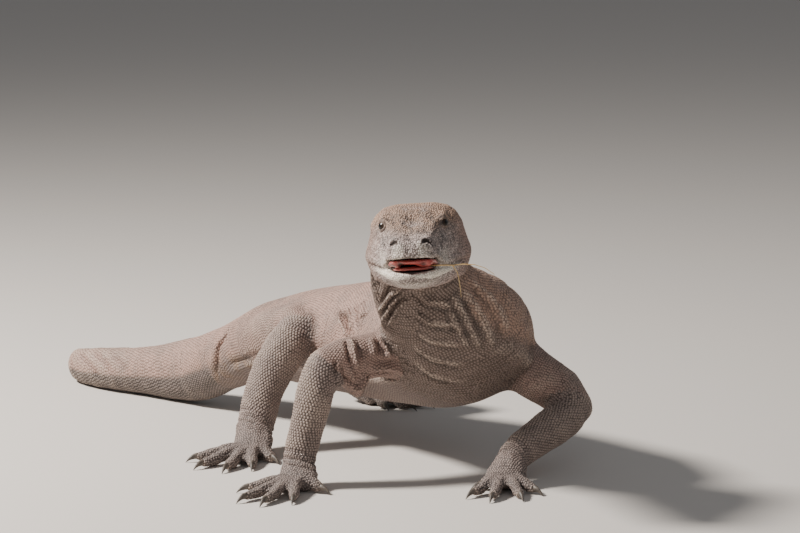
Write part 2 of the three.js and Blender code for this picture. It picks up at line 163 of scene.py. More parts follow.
def normals_of(mesh):
    return rows_of(mesh.vertex_normals, "vector", 3)


def face_centres(mesh):
    return rows_of(mesh.polygons, "center", 3)


def edges_of(mesh):
    return rows_of(mesh.edges, "vertices", 2, np.int64)


def put_points(mesh, points):
    mesh.vertices.foreach_set("co", np.ascontiguousarray(points, dtype=np.float32).ravel())
    mesh.update()


def unit(v):
    return v / np.maximum(np.linalg.norm(v, axis=-1, keepdims=True), 1e-12)


def ramp(x, low, high):
    t = np.clip((x - low) / (high - low), 0, 1)
    return t * t * (3 - 2 * t)


# Which solid each point of the skin belongs to.
solid_points = []
solid_faces = []
solid_owner = []
for name in flesh:
    mesh = frame["nodes"][name].data
    base = len(solid_points)
    solid_points += [v.co.copy() for v in mesh.vertices]
    for face in mesh.polygons:
        solid_faces.append([base + i for i in face.vertices])
        solid_owner.append(number_of[name])
solid_tree = BVHTree.FromPolygons(solid_points, solid_faces)
solid_owner = np.array(solid_owner)


def owners(points):
    found = [solid_tree.find_nearest(Vector(p))[2] for p in points]
    return solid_owner[np.array(found)]


# The head's own directions. Its features are placed in millimetres to the animal's left, ahead
# of the nape, and above the head's middle line.
HEAD_TURN, HEAD_NOD, HEAD_TILT = (math.radians(a) for a in (39.5, -2, 4))
nape = np.array([-0.300, -0.4755, 0.378])
head_ahead = np.array([
    -math.sin(HEAD_TURN) * math.cos(HEAD_NOD),
    -math.cos(HEAD_TURN) * math.cos(HEAD_NOD),
    math.sin(HEAD_NOD),
])
level_left = np.array([math.cos(HEAD_TURN), -math.sin(HEAD_TURN), 0])
head_left = level_left * math.cos(HEAD_TILT)
head_left = head_left + np.cross(head_ahead, level_left) * math.sin(HEAD_TILT)
head_up = np.cross(head_ahead, head_left)
head_axes = np.array([head_left, head_ahead, head_up])


def from_head(places):
    return nape + places @ head_axes / 1000


def head_place(left, ahead, up):
    return from_head(np.array([left, ahead, up]))


def in_head(points):
    return (points - nape) @ head_axes.T * 1000


def on_side(place, hand):
    return np.array(place) * (hand, 1, 1)


# Each eyeball's lids start as a ball of flesh round it, which is opened later. Of the two
# hands, -1 is the animal's right and 1 its left.
BOTH_HANDS = (-1, 1)
EYE_AT = np.array([41, 101, 45])
LID = 11.0
FINE_ROUND_EYE = 24
LOOSE_ROUND_EYE = 19
BARE_ROUND_EYE = 12.6
SKIN_VOXEL = 0.005


def eye_gap(on_face):
    gaps = [np.linalg.norm(on_face - on_side(EYE_AT, hand), axis=1) for hand in BOTH_HANDS]
    return np.minimum(*gaps)


skin = copy_of(flesh, "hide")
lid_balls = []
for hand in BOTH_HANDS:
    unpick()
    bpy.ops.mesh.primitive_uv_sphere_add(
        segments=24, ring_count=14, radius=LID / 1000, location=head_place(*on_side(EYE_AT, hand))
    )
    bpy.ops.object.transform_apply(location=True, rotation=True, scale=True)
    lid_balls.append(bpy.context.active_object)
pick(skin, *lid_balls)
bpy.ops.object.join()
apply_modifier(skin, "REMESH", mode="VOXEL", voxel_size=SKIN_VOXEL)

# The head and the feet have finer features, so their skin is divided again, and once more
# round the eyes and at the snout.
fine = [number_of[n] for n in flesh if n in ("head", "lower_jaw") or n.endswith("foot")]


def divide(obj, chosen):
    unpick()
    mesh = obj.data
    for element in (mesh.vertices, mesh.edges):
        element.foreach_set("select", np.zeros(len(element), dtype=bool))
    mesh.polygons.foreach_set("select", chosen)
    edit(obj, "FACE")
    bpy.ops.mesh.subdivide(number_cuts=1, smoothness=0)
    finish_edit()


divide(skin, np.isin(owners(face_centres(skin.data)), fine))

centres = in_head(face_centres(skin.data))
near_eye = eye_gap(centres) < FINE_ROUND_EYE
near_snout = (centres[:, 1] > 132) & (np.abs(centres[:, 0]) < 60) & (centres[:, 1] < 240)
owner = owners(face_centres(skin.data))
divide(skin, (near_eye | near_snout) & np.isin(owner, [HEAD, JAW]))

# Smoothing: the broad trunk is eased most and the toes least.
ease = {"head": 7, "lower_jaw": 7, "neck": 45, "chest": 60, "abdomen": 60, "pelvis": 50}
ease.update({"tail_1": 40, "tail_2": 34, "tail_3": 24, "tail_4": 18, "tail_5": 9})
for leg in LEGS:
    ease.update(zip(parts_of(leg), (18, 12, 3)))
ease_by_number = np.array([ease[name] for name in flesh], dtype=float)


def neighbour_mean(values, edges):
    a, b = edges[:, 0], edges[:, 1]
    count = len(values)
    total = np.zeros_like(values)
    for k in range(values.shape[1]):
        total[:, k] = np.bincount(a, values[b, k], count) + np.bincount(b, values[a, k], count)
    degree = np.bincount(a, minlength=count) + np.bincount(b, minlength=count)
    return total / np.maximum(degree, 1)[:, None]


def eased(places, edges, times, amount):
    for step in range(times):
        places = places + amount * (neighbour_mean(places, edges) - places)
    return places


def spread_out(values, edges, times):
    for step in range(times):
        values = 0.5 * values + 0.5 * neighbour_mean(values, edges)
    return values


points = points_of(skin.data)
edges = edges_of(skin.data)
home = owners(points)
times = spread_out(ease_by_number[home][:, None], edges, 20)
for step in range(int(ease_by_number.max())):
    points = eased(points, edges, 1, 0.5 * np.clip(times - step, 0, 1))


def on_solid(places):
    return np.array([solid_tree.find_nearest(Vector(p))[0] for p in places])


# Feet, lips and snout keep their solid's size where the easing thinned them.
FOOT_FIRM, FACE_FIRM = 0.85, 0.55
feet = [f"{leg}_foot" for leg in LEGS]
firm = np.isin(home, numbers(feet)) * FOOT_FIRM
firm = np.where(np.isin(home, [HEAD, JAW]), FACE_FIRM, firm)
firm = np.where(eye_gap(in_head(points)) < LOOSE_ROUND_EYE, 0, firm)
held = firm > 0
points[held] += firm[held, None] * (on_solid(points[held]) - points[held])
points = eased(points, edges, 3, 0.4 * held[:, None])

# Drawn in by the depth of the scales.
SCALE_DEPTH = 0.0011
put_points(skin.data, points)
normals = normals_of(skin.data)
points = points - normals * SCALE_DEPTH

# Where the skin hangs in sharp folds it is divided further: the right of the neck, the breast
# before the right shoulder, behind the right armpit, and the root of the tail.
FOLDED = [
    ((-0.335, -0.440, 0.290), (0.050, 0.085, 0.085)),
    ((-0.315, -0.372, 0.190), (0.085, 0.040, 0.065)),
    ((-0.226, -0.190, 0.220), (0.030, 0.075, 0.050)),
    ((-0.230, 0.185, 0.115), (0.032, 0.060, 0.060)),
]


def folded(places, grown):
    inside = np.zeros(len(places), dtype=bool)
    for centre, radii in FOLDED:
        inside |= (((places - np.array(centre)) / np.array(radii)) ** 2).sum(1) < grown
    return inside


put_points(skin.data, points)
for grown in (1.3, 1.0):
    centres = face_centres(skin.data)
    divide(skin, folded(centres, grown) & ~np.isin(owners(centres), fine))
points = points_of(skin.data)
edges = edges_of(skin.data)
count = len(points)
home = owners(points)
newly_divided = folded(points, 1.3)[:, None]
points = eased(points, edges, 5, 0.5 * newly_divided)


def skin_tree_now():
    return BVHTree.FromPolygons([Vector(p) for p in points], [tuple(f.vertices) for f in skin.data.polygons])


def lay_skin():
    global normals
    put_points(skin.data, points)
    normals = normals_of(skin.data)


# Folds and swellings are raised along lines and round places. Each line is first laid on the
# skin, so that it runs along the surface.
lay_skin()
first_skin = skin_tree_now()


def laid(line, step=0.006):
    line = [np.array(p, dtype=float) for p in line]
    close = []
    for a, b in zip(line[:-1], line[1:]):
        parts = max(int(np.linalg.norm(b - a) / step), 1)
        close += [a + (b - a) * k / parts for k in range(parts)]
    close.append(line[-1])
    return [np.array(first_skin.find_nearest(Vector(p))[0]) for p in close]


def nearest_on_line(places, line):
    line = [np.array(p, dtype=float) for p in line]
    reach = 0.15 * max(np.ptp(np.array(line), axis=0).max(), 1e-6)
    reach = max(reach, 0.03 if np.abs(places).max() < 5 else 30)
    inside = ((places > np.min(line, axis=0) - reach) & (places < np.max(line, axis=0) + reach)).all(1)
    chosen = places[inside]
    nearest = np.full(len(chosen), 1e9)
    where = np.zeros(len(chosen))
    run = 0.0
    for a, b in zip(line[:-1], line[1:]):
        step = b - a
        length = max(np.linalg.norm(step), 1e-9)
        t = np.clip((chosen - a) @ step / length**2, 0, 1)
        gap = np.linalg.norm(chosen - a - t[:, None] * step, axis=1)
        closer = gap < nearest
        nearest = np.where(closer, gap, nearest)
        where = np.where(closer, run + t * length, where)
        run += length
    best = np.full(len(places), 1e9)
    along = np.zeros(len(places))
    best[inside] = nearest
    along[inside] = where / max(run, 1e-9)
    return best, along


def line_lift(places, line, width, height):
    gap, along = nearest_on_line(places, line)
    ends = ramp(along, 0, 0.22) * ramp(along, 1, 0.78)
    return height * np.exp(-((gap / width) ** 2)) * (0.15 + 0.85 * ends)


def spot_lift(places, centre, radii, height):
    away = (places - np.array(centre)) / np.array(radii)
    return height * np.exp(-(away**2).sum(1))


def folds(lines):
    lift = np.zeros(count)
    for line, width, height in lines:
        lift += line_lift(points, laid(np.array(line) / 1000), width, height)
    return lift


def work(lift):
    global points
    points = points + normals * lift[:, None]
    lay_skin()


def of_parts(*names):
    return np.isin(home, numbers(names))


# The body's middle line, from the tail's tip to the nape, for all that runs round the body.
SPINE = [
    (0.570, 0.397, 0.004), (0.398, 0.489, 0.009), (0.124, 0.617, 0.015), (-0.060, 0.667, 0.019),
    (-0.164, 0.679, 0.023), (-0.242, 0.637, 0.029), (-0.250, 0.551, 0.036), (-0.218, 0.439, 0.045),
    (-0.190, 0.327, 0.061), (-0.181, 0.235, 0.091), (-0.164, 0.123, 0.136), (-0.140, 0.037, 0.151),
    (-0.125, -0.063, 0.163), (-0.122, -0.163, 0.172), (-0.129, -0.263, 0.183), (-0.148, -0.363, 0.198),
    (-0.186, -0.413, 0.240), (-0.252, -0.433, 0.297), (-0.291, -0.454, 0.350), (-0.300, -0.476, 0.378),
]
# Shoulder or hip, elbow or knee, wrist or ankle, and the middle of the palm, for each leg.
LEG_LINES = {
    "fore_right": [
        (-0.214, -0.351, 0.192), (-0.380, -0.339, 0.187), (-0.423, -0.337, 0.042), (-0.439, -0.357, 0.018),
    ],
    "fore_left": [
        (-0.074, -0.385, 0.180), (0.000, -0.486, 0.101), (-0.150, -0.515, 0.042), (-0.178, -0.530, 0.014),
    ],
    "hind_right": [
        (-0.186, 0.115, 0.138), (-0.227, -0.066, 0.194), (-0.335, -0.083, 0.046), (-0.365, -0.119, 0.019),
    ],
    "hind_left": [
        (-0.122, 0.117, 0.136), (0.014, 0.041, 0.160), (0.038, 0.182, 0.046), (0.056, 0.147, 0.019),
    ],
}


def even_line(line, step):
    corners = np.array(line)
    fine_line = []
    padded = np.vstack([2 * corners[0] - corners[1], corners, 2 * corners[-1] - corners[-2]])
    for i in range(1, len(padded) - 2):
        a, b, c, d = padded[i - 1 : i + 3]
        for t in np.arange(0, 1, 0.02):
            fine_line.append(0.5 * (
                2 * b + (c - a) * t + (2 * a - 5 * b + 4 * c - d) * t**2 + (3 * b - a - 3 * c + d) * t**3
            ))
    fine_line = np.array(fine_line + [corners[-1]])
    run = np.concatenate([[0], np.cumsum(np.linalg.norm(np.diff(fine_line, axis=0), axis=1))])
    even = np.arange(0, run[-1], step)
    return np.stack([np.interp(even, run, fine_line[:, k]) for k in range(3)], axis=1)


LINE_STEP = 0.005
spine = even_line(SPINE, LINE_STEP)
spine_ahead = unit(np.gradient(spine, axis=0))
spine_left = unit(np.cross(np.array([0, 0, 1.0]), -spine_ahead) * -1)
spine_up = np.cross(spine_ahead, spine_left)


def round_body(places):
    at_once = 20000
    nearest = np.zeros(len(places), dtype=int)
    for start in range(0, len(places), at_once):
        chunk = places[start : start + at_once]
        gaps = ((chunk[:, None, :] - spine[None, :, :]) ** 2).sum(2)
        nearest[start : start + at_once] = gaps.argmin(1)
    away = places - spine[nearest]
    left = (away * spine_left[nearest]).sum(1)
    up = (away * spine_up[nearest]).sum(1)
    return nearest * LINE_STEP, np.arctan2(up, left)


trunk = of_parts("neck", "chest", "abdomen", "pelvis", "tail_1")
along_body, round_angle = round_body(points)


def ripple(places, scale, seed):
    return np.array([noise.noise(Vector(p) * scale + Vector((seed, 2 * seed, 0))) for p in places])


# Broad forms: shoulder blades, hips, the slack fold that runs low along each flank, and a slow
# unevenness of the whole trunk.
slow = ripple(points, 14, 3.0)
quick = ripple(points, 60, 7.0)
lift = np.zeros(count)
lift += spot_lift(points, (-0.243, -0.330, 0.270), (0.05, 0.055, 0.045), 0.006)
lift += spot_lift(points, (-0.060, -0.380, 0.265), (0.05, 0.055, 0.045), 0.007)
lift += spot_lift(points, (-0.226, 0.070, 0.190), (0.035, 0.06, 0.04), 0.005)
lift += spot_lift(points, (-0.075, 0.090, 0.190), (0.035, 0.06, 0.04), 0.005)
for hand in BOTH_HANDS:
    low_flank = math.pi / 2 - hand * math.radians(112)
    off = np.angle(np.exp(1j * (round_angle - low_flank)))
    here = trunk * ramp(along_body, 1.50, 1.60) * ramp(along_body, 2.05, 1.92)
    lift += here * 0.007 * np.exp(-((off + 0.10 * slow) / 0.16) ** 2)
    lift -= here * 0.004 * np.exp(-((off + 0.10 * slow - hand * 0.24) / 0.10) ** 2)
lift += trunk * 0.0028 * slow
# Slack skin in creases across the flanks and round the neck, none of them straight.
CREASE_GAP = 0.031
wave = np.sin(along_body * 2 * math.pi / CREASE_GAP + 5.0 * slow + 1.6 * quick)
side_on = np.clip(1.15 - np.abs(np.sin(round_angle)), 0, 1)
neck_part = of_parts("neck") * 1.0
neck_part = spread_out(neck_part[:, None], edges, 14)[:, 0]
creased = trunk * side_on * 0.0011 + neck_part * 0.0016
lift -= creased * np.clip(wave, -0.2, 1) ** 2 * (0.6 + 0.8 * np.clip(slow + 0.2, 0, 1))
work(lift)

# The tail: folds of skin at its root and below the hip, and creases where it bends. All these
# lines of folds are given in millimetres, each with its width and its height in metres.
tail = of_parts(*TAIL)
lift = folds((
    ([
        (-210, 178, 152), (-227, 182, 140), (-232, 192, 124), (-233, 196, 106), (-226, 203, 70),
    ], 0.0032, -0.0052),
    ([(-222, 192, 144), (-236, 201, 124), (-238, 206, 106), (-230, 214, 72)], 0.0075, 0.0032),
    ([(-160, 110, 210), (-196, 116, 186), (-214, 130, 160)], 0.0030, -0.0022),
    ([(-227, 170, 93), (-226, 120, 109), (-236, 52, 134)], 0.0040, -0.0042),
    ([(-221, 172, 80), (-219, 129, 94), (-223, 84, 111)], 0.0055, 0.0038),
    ([(-270, 600, 62), (-280, 545, 46), (-276, 513, 22)], 0.0045, -0.0040),
    ([(-266, 553, 70), (-272, 505, 56), (-270, 481, 38)], 0.0045, -0.0038),
    ([(-262, 500, 72), (-266, 462, 58), (-258, 440, 36)], 0.0040, -0.0026),
    ([(-262, 640, 60), (-284, 620, 40), (-280, 600, 14)], 0.0045, -0.0030),
))
lift += tail * 0.0012 * slow
lift += (tail & (points[:, 2] < 0.03)) * 0.0010 * quick
work(lift)

# Neck and throat: loose ribbons of skin from the corner of the jaw down to the shoulder, with
# matching slack folds on the other side and under the throat.
lift = folds((
    ([
        (-348, -500, 316), (-341, -456, 298), (-339, -442, 288), (-333, -423, 275),
        (-322, -401, 262),
    ], 0.0036, 0.0085),
    ([
        (-342, -498, 303), (-336, -474, 302), (-336, -453, 287), (-331, -439, 273),
        (-324, -418, 259), (-300, -384, 238),
    ], 0.0036, 0.0085),
    ([
        (-334, -500, 288), (-329, -474, 291), (-329, -457, 276), (-323, -438, 260),
        (-314, -415, 244),
    ], 0.0036, 0.0075),
    ([(-350, -480, 320), (-345, -454, 306), (-341, -438, 292), (-334, -419, 278)], 0.0034, -0.0070),
    ([(-343, -486, 308), (-339, -456, 292), (-335, -440, 280), (-328, -420, 267)], 0.0028, -0.0060),
    ([(-337, -486, 296), (-333, -456, 281), (-327, -438, 266), (-318, -415, 251)], 0.0028, -0.0060),
    ([
        (-352, -418, 350), (-348, -414, 326), (-342, -411, 307), (-339, -416, 289),
        (-332, -415, 276),
    ], 0.0030, -0.0046),
    ([(-356, -430, 345), (-352, -426, 326), (-346, -424, 308), (-341, -427, 292)], 0.0032, 0.0036),
    ([(-360, -440, 342), (-354, -438, 324), (-347, -436, 307)], 0.0026, -0.0042),
    ([(-300, -384, 300), (-316, -388, 280), (-312, -385, 262)], 0.0030, -0.0034),
))
throat = np.array([(-0.352, -0.520, 0.298), (-0.318, -0.528, 0.280), (-0.262, -0.545, 0.282)])
for k in range(5):
    line = throat + np.array([(0.017, 0.024, -0.030)]) * k
    lift += line_lift(points, laid(line), 0.0046, 0.0052)
    lift += line_lift(points, laid(line + (0.006, 0.009, -0.010)), 0.0036, -0.0040)
left_side = np.array([(-0.226, -0.530, 0.330), (-0.196, -0.500, 0.290), (-0.160, -0.480, 0.240)])
for k in range(4):
    line = left_side + np.array([(-0.022, -0.012, -0.018)]) * k
    lift += line_lift(points, laid(line), 0.0044, 0.0055)
    lift += line_lift(points, laid(line + (-0.008, -0.004, -0.008)), 0.0036, -0.0042)
work(lift)

# The right fore leg: a peaked flap of skin before the shoulder, a ledge of beads below it, the
# slack pouch under the upper arm with its creases, the creases of shoulder and elbow, and the
# folds behind the armpit.
lift = folds((
    ([
        (-291, -365, 221), (-285, -372, 215), (-281, -379, 204), (-286, -381, 197),
        (-300, -380, 193),
    ], 0.0050, 0.0100),
    ([(-300, -368, 218), (-302, -376, 206), (-300, -378, 200)], 0.0045, -0.0040),
    ([(-306, -362, 228), (-311, -374, 206), (-314, -378, 192)], 0.0060, 0.0050),
    ([
        (-320, -372, 174), (-300, -378, 175), (-282, -381, 174), (-268, -381, 170),
        (-252, -377, 163),
    ], 0.0052, 0.0070),
    ([(-318, -377, 188), (-298, -381, 187), (-276, -381, 184), (-262, -381, 180)], 0.0040, -0.0028),
    ([(-318, -368, 163), (-296, -372, 163), (-276, -374, 160)], 0.0040, -0.0030),
    ([
        (-340, -352, 230), (-343, -362, 216), (-346, -371, 204), (-345, -375, 189),
        (-339, -372, 176),
    ], 0.0040, 0.0078),
    ([(-346, -350, 228), (-351, -362, 214), (-354, -371, 200), (-352, -374, 184)], 0.0034, -0.0068),
    ([(-332, -362, 222), (-334, -372, 205), (-332, -375, 190)], 0.0036, -0.0050),
    ([(-377, -367, 198), (-379, -370, 183), (-376, -368, 166)], 0.0034, -0.0062),
    ([(-368, -369, 188), (-362, -369, 170), (-354, -367, 156)], 0.0034, -0.0050),
    ([(-356, -372, 184), (-348, -371, 168), (-342, -368, 156)], 0.0040, 0.0046),
    ([(-368, -368, 150), (-350, -372, 140), (-332, -368, 142)], 0.0044, 0.0040),
    ([(-364, -370, 160), (-348, -374, 150), (-332, -370, 150)], 0.0034, -0.0046),
    ([(-316, -360, 166), (-327, -368, 149), (-338, -368, 134)], 0.0044, 0.0080),
    ([(-218, -150, 230), (-224, -171, 219), (-231, -190, 209), (-235, -204, 198)], 0.0040, -0.0090),
    ([(-216, -138, 228), (-227, -167, 212), (-234, -190, 199), (-236, -206, 186)], 0.0044, 0.0080),
    ([(-214, -162, 236), (-227, -189, 219), (-236, -212, 203)], 0.0042, 0.0060),
    ([(-210, -176, 244), (-225, -204, 226), (-236, -226, 208)], 0.0038, -0.0055),
    ([(-206, -192, 250), (-222, -218, 234), (-236, -242, 212)], 0.0060, 0.0046),
    ([(-222, -238, 240), (-228, -229, 228), (-231, -219, 219)], 0.0034, -0.0040),
    ([(-232, -300, 262), (-262, -318, 246), (-290, -330, 232)], 0.0048, -0.0030),
))
work(lift)

# Legs: the points of elbow and knee, the muscle below them, a narrowing towards wrist and
# ankle, and rings of creased skin there.
lift = np.zeros(count)
for leg in LEGS:
    top, bend, cuff = (np.array(p) for p in LEG_LINES[leg][:3])
    own = of_parts(*parts_of(leg))
    lift += own * spot_lift(points, bend + unit(bend - (top + cuff) / 2) * 0.026, (0.024,) * 3, 0.0050)
    calf = bend * 0.68 + cuff * 0.32
    lift += own * spot_lift(points, calf, (0.045,) * 3, 0.0034)
    lift -= own * spot_lift(points, bend * 0.25 + cuff * 0.75, (0.030,) * 3, 0.0016)
    shaft = unit(cuff - bend)
    down = (points - cuff) @ shaft
    for place, depth in ((-0.010, 0.0024), (0.001, 0.0030), (0.011, 0.0024)):
        lift -= own * depth * np.exp(-(((down - place + 0.004 * slow) / 0.0030) ** 2)) * (
            np.linalg.norm(points - cuff, axis=1) < 0.06
        )
    lift += own * 0.0010 * quick
work(lift)

# The head: boxy skull with a shelf over each eye that runs on as a ridge to the nostril, full
# jaw muscles behind, ear openings, rounded lips, and a seam of the closed mouth behind the gape.
of_head = of_parts("head", "lower_jaw", "neck")
face = in_head(points)


def both_sides(line):
    return [[(hand * left, ahead, up) for left, ahead, up in line] for hand in BOTH_HANDS]


def laid_on_face(line):
    return in_head(np.array(laid([head_place(*place) for place in line])))


lift = np.zeros(count)
for line, width, height in (
    ([(46, 70, 56), (47, 92, 58), (43, 114, 56), (35, 133, 48)], 6.0, 4.6),
    ([(35, 133, 48), (30, 152, 40), (24, 178, 36), (17, 197, 33), (8, 206, 26)], 5.0, 3.0),
    ([(0, 150, 42), (0, 120, 54), (0, 96, 60)], 16, -3.0),
    ([(0, 196, 35), (0, 176, 36), (0, 160, 38)], 9, -2.0),
    ([(46, 130, 24), (40, 152, 22), (35, 174, 20)], 8.5, -2.8),
    ([(58, 74, 30), (54, 92, 27), (49, 110, 24)], 7.0, -2.6),
    ([(57, 84, 34), (53, 102, 32), (47, 118, 35)], 3.0, 1.4),
    ([(76, 52, -17), (70, 75, -16.6), (59, 101, -15.8), (50, 131, -13.8), (46, 146, -11)], 1.9, -3.4),
    ([
        (73, 60, -10), (61, 100, -9), (51, 130, -7), (45, 152, -1), (40, 170, 9), (34, 192, 14),
        (20, 212, 16), (0, 218, 16),
    ], 4.2, 2.0),
    ([
        (73, 60, -23), (61, 100, -22), (50, 130, -20), (43, 156, -17), (35, 182, -15), (20, 203, -13),
        (0, 212, -13),
    ], 4.0, 2.0),
    ([(76, 30, 44), (70, 58, 46), (58, 74, 52)], 8.0, 2.4),
    ([(80, -6, 30), (82, -2, 4), (78, 2, -26)], 5.0, -4.0),
    ([(76, 14, -44), (70, 44, -46), (60, 72, -42)], 5.0, 2.6),
    ([(72, 10, -54), (64, 40, -56), (52, 70, -50)], 4.0, -2.4),
):
    for mirrored in both_sides(line):
        lift += line_lift(face, laid_on_face(mirrored), width, height)
for centre, radii, height in (
    ((70, 38, -10), (20, 26, 20), 4.0),
    ((64, 64, 20), (15, 13, 13), -3.0),
    ((27, 191, 31), (9, 11, 8), 3.4),
    ((78, 9, 6), (5, 4.5, 7.5), -7.0),
    ((79, 0, 8), (5, 3.0, 10), 2.6),
    ((20, 204, 8), (12, 9, 9), 1.0),
):
    for hand in BOTH_HANDS:
        lift += spot_lift(face, on_side(centre, hand), radii, height)
lift *= of_head / 1000
grain = ripple(points, 190, 11.0)
lift += of_parts("head", "lower_jaw") * 0.0006 * grain
work(lift)


# Lips: the lower one stands up round the mouth's floor, and the upper one hangs a little.
face = in_head(points)
for line, lip_of, soft, push in (
    (
        [(50, 128, -14), (45, 146, -12), (40, 165, -11), (33, 182, -9.5), (20, 203, -8), (0, 213, -8)],
        JAW, 4.2, (0, 0.3, 2.8),
    ),
    (
        [(45, 147, -10), (43, 153, -5), (39, 168, 5), (34, 188, 10), (20, 210, 11), (0, 217, 11)],
        HEAD, 4.0, (0, 0.6, -2.2),
    ),
):
    for mirrored in both_sides(line):
        gap, along = nearest_on_line(face, mirrored)
        rim = np.exp(-((gap / soft) ** 2)) * (home == lip_of) * ramp(along, 0.0, 0.3)
        face = face + rim[:, None] * np.array(push)
points = from_head(face)
lay_skin()


# Lids: the skin closes over each eyeball from all round and leaves an oval opening. Its edge,
# the groove round it and the fold outside that are given as shares of the opening.
OPEN_LONG, OPEN_HIGH = 0.74, 0.50
BARE_EYE, LID_OUT = 7.0, 10.6
LID_RINGS = ((1.28, 0.15, 1.0), (1.58, 0.11, -0.8), (1.9, 0.2, 1.1))
face = in_head(points)
for hand in BOTH_HANDS:
    middle = on_side(EYE_AT, hand)
    gaze = unit(np.array([hand * 0.86, 0.47, 0.16]))
    across = unit(np.cross(np.array([0, 0, 1.0]), gaze)) * hand
    over = np.cross(gaze, across) * hand
    away = face - middle
    reach = np.linalg.norm(away, axis=1)
    ray = away / np.maximum(reach, 1e-6)[:, None]
    a, b, front = ray @ across, ray @ over, ray @ gaze
    slant = b - 0.10 * a
    opening = np.sqrt((a / OPEN_LONG) ** 2 + (slant / OPEN_HIGH) ** 2)
    opening = np.where(front > 0, opening, 9)
    near = (reach < 26) & (front > 0.10)
    close = ramp(opening, 1.0, 1.14)
    outer = ramp(opening, 1.20, 2.3)
    wanted = BARE_EYE + (LID_OUT - BARE_EYE) * close
    for place, width, height in LID_RINGS:
        wanted = wanted + height * np.exp(-(((opening - place) / width) ** 2))
    settled = wanted * (1 - outer) + reach * outer
    fade = ramp(front, 0.10, 0.3)
    new_reach = reach * (1 - fade) + settled * fade
    face = np.where(near[:, None], middle + ray * new_reach[:, None], face)


# Nostrils: arched slanting pits, well back from the end of the snout.
def nostril_pit(face, hand):
    away = (face - np.array([hand * 24, 192, 34])) * (hand, 1, 1)
    across = away @ np.array([0.82, -0.50, -0.28])
    over = away @ np.array([0.05, -0.42, 0.90])
    bow = over - 2.0 + 0.060 * across**2
    return np.exp(-((across / 8.4) ** 4) - (bow / 3.3) ** 2) * (np.linalg.norm(away, axis=1) < 16)


NOSTRIL_DEPTH = 8.0
for hand in BOTH_HANDS:
    face = face - nostril_pit(face, hand)[:, None] * np.array([hand * 0.45, 0.70, 0.55]) * NOSTRIL_DEPTH
points = from_head(face)

# A last light easing takes out what the working pinched, and soles and tail rest on the floor.
FLOOR_CLEAR = 0.0006
points = eased(points, edges, 2, 0.35)
points[:, 2] = np.maximum(points[:, 2], FLOOR_CLEAR)
lay_skin()

# Painted shade lies in the hollows of the folds, and their ridges are worn.
around = eased(points, edges, 24, 0.5)
sunk = ((around - points) * normals).sum(1)
hollow_shade = ramp(sunk, 0.0003, 0.0024)
worn_ridge = ramp(-sunk, 0.0006, 0.0030)


def is_part(part, names):
    return np.isin(part, numbers(names))


def both_nostrils(face):
    return np.maximum(nostril_pit(face, -1), nostril_pit(face, 1))


# Markings, the same for skin and scales, worked out from a point's place on the animal: cream
# lips and chin, a pale snout, a brown crown and neck, dark legs, feet and rims of the eyes, painted
# shade on the undersides, nostrils painted black as shade, and dust at the root of the tail.
def markings(places, part):
    on_face = in_head(places)
    facing = (part == HEAD) | (part == JAW)
    lip = np.zeros(len(places))
    for mirrored in both_sides([
        (66, 70, -19), (60, 88, -18.5), (51, 119, -18), (45, 140, -16.5),
        (38, 158, -15), (31, 180, -13), (22, 198, -11), (0, 210, -10),
    ]):
        gap, along = nearest_on_line(on_face, mirrored)
        reach = 3.6 + 4.2 * ramp(along, 0.1, 0.6)
        lip = np.maximum(lip, ramp(gap, reach + 2.2, reach - 1.0) * ramp(along, 0.0, 0.35))
    lip *= part == JAW
    chin = ramp(on_face[:, 2], -14, -34) * ramp(on_face[:, 1], 120, 190) * 0.35
    upper_lip = (part == HEAD) * ramp(on_face[:, 2], 20, 2) * ramp(on_face[:, 1], 96, 140) * 0.35
    beside_tip = ramp(np.abs(np.abs(on_face[:, 0]) - 20), 14, 4)
    snout_end = (part == HEAD) * beside_tip * ramp(on_face[:, 1], 192, 204) * 0.55
    upper_lip = np.maximum(upper_lip, snout_end)
    cream = np.where(facing, np.clip(lip + chin + upper_lip, 0, 1), 0)
    lower_legs = is_part(part, [name for leg in LEGS for name in parts_of(leg)[1:]]) * 1.0
    upper_legs = is_part(part, [parts_of(leg)[0] for leg in LEGS]) * 1.0
    dark = np.maximum(lower_legs * 0.72, upper_legs * 0.24)
    dark = np.maximum(dark, is_part(part, feet) * (0.72 + 0.2 * ramp(places[:, 2], 0.05, 0.012)))
    angle = round_body(places)[1]
    # painted shade on the undersides of the trunk and tail
    under = ramp(-np.sin(angle), 0.06, 0.34)
    on_trunk = is_part(part, ["chest", "abdomen", "pelvis", "neck"])
    under = under * (is_part(part, TAIL) + on_trunk * 0.6)
    # the painted shade of the undersides joins the dark of the legs
    dark = np.maximum(dark, under * 0.8)
    mask = np.zeros(len(places))
    for centre, radii, amount in (
        ((40, 128, 26), (8, 16, 8), 0.6), ((52, 84, 36), (12, 12, 8), 0.40),
    ):
        for hand in BOTH_HANDS:
            mask = np.maximum(mask, spot_lift(on_face, on_side(centre, hand), radii, amount))
    dark = np.maximum(dark, np.where(facing, mask, 0))
    # the nostril pits painted black, as the shade inside them
    pits = np.where(facing, ramp(both_nostrils(on_face), 0.22, 0.5), 0)
    crown = np.where(facing, ramp(on_face[:, 2], 30, 50) * ramp(on_face[:, 1], 196, 150) * 0.9, 0)
    crown = np.maximum(crown, np.where(part == number_of["neck"], 0.55, 0))
    snout = np.where(facing, ramp(on_face[:, 1], 40, 120) * 0.85, 0)
    dust = spot_lift(places, (-0.236, 0.130, 0.098), (0.03, 0.05, 0.012), 1.0)
    dust = np.maximum(dust, spot_lift(places, (-0.225, 0.205, 0.070), (0.03, 0.04, 0.014), 0.7))
    return {
        "cream": cream, "dark": dark, "crown": crown, "nostril_shade": pits,
        "snout": snout, "dust": dust, "under": under,
    }


def put_values(mesh, name, values):
    layer = mesh.attributes.new(name, "FLOAT", "POINT")
    layer.data.foreach_set("value", np.ascontiguousarray(values, dtype=np.float32))


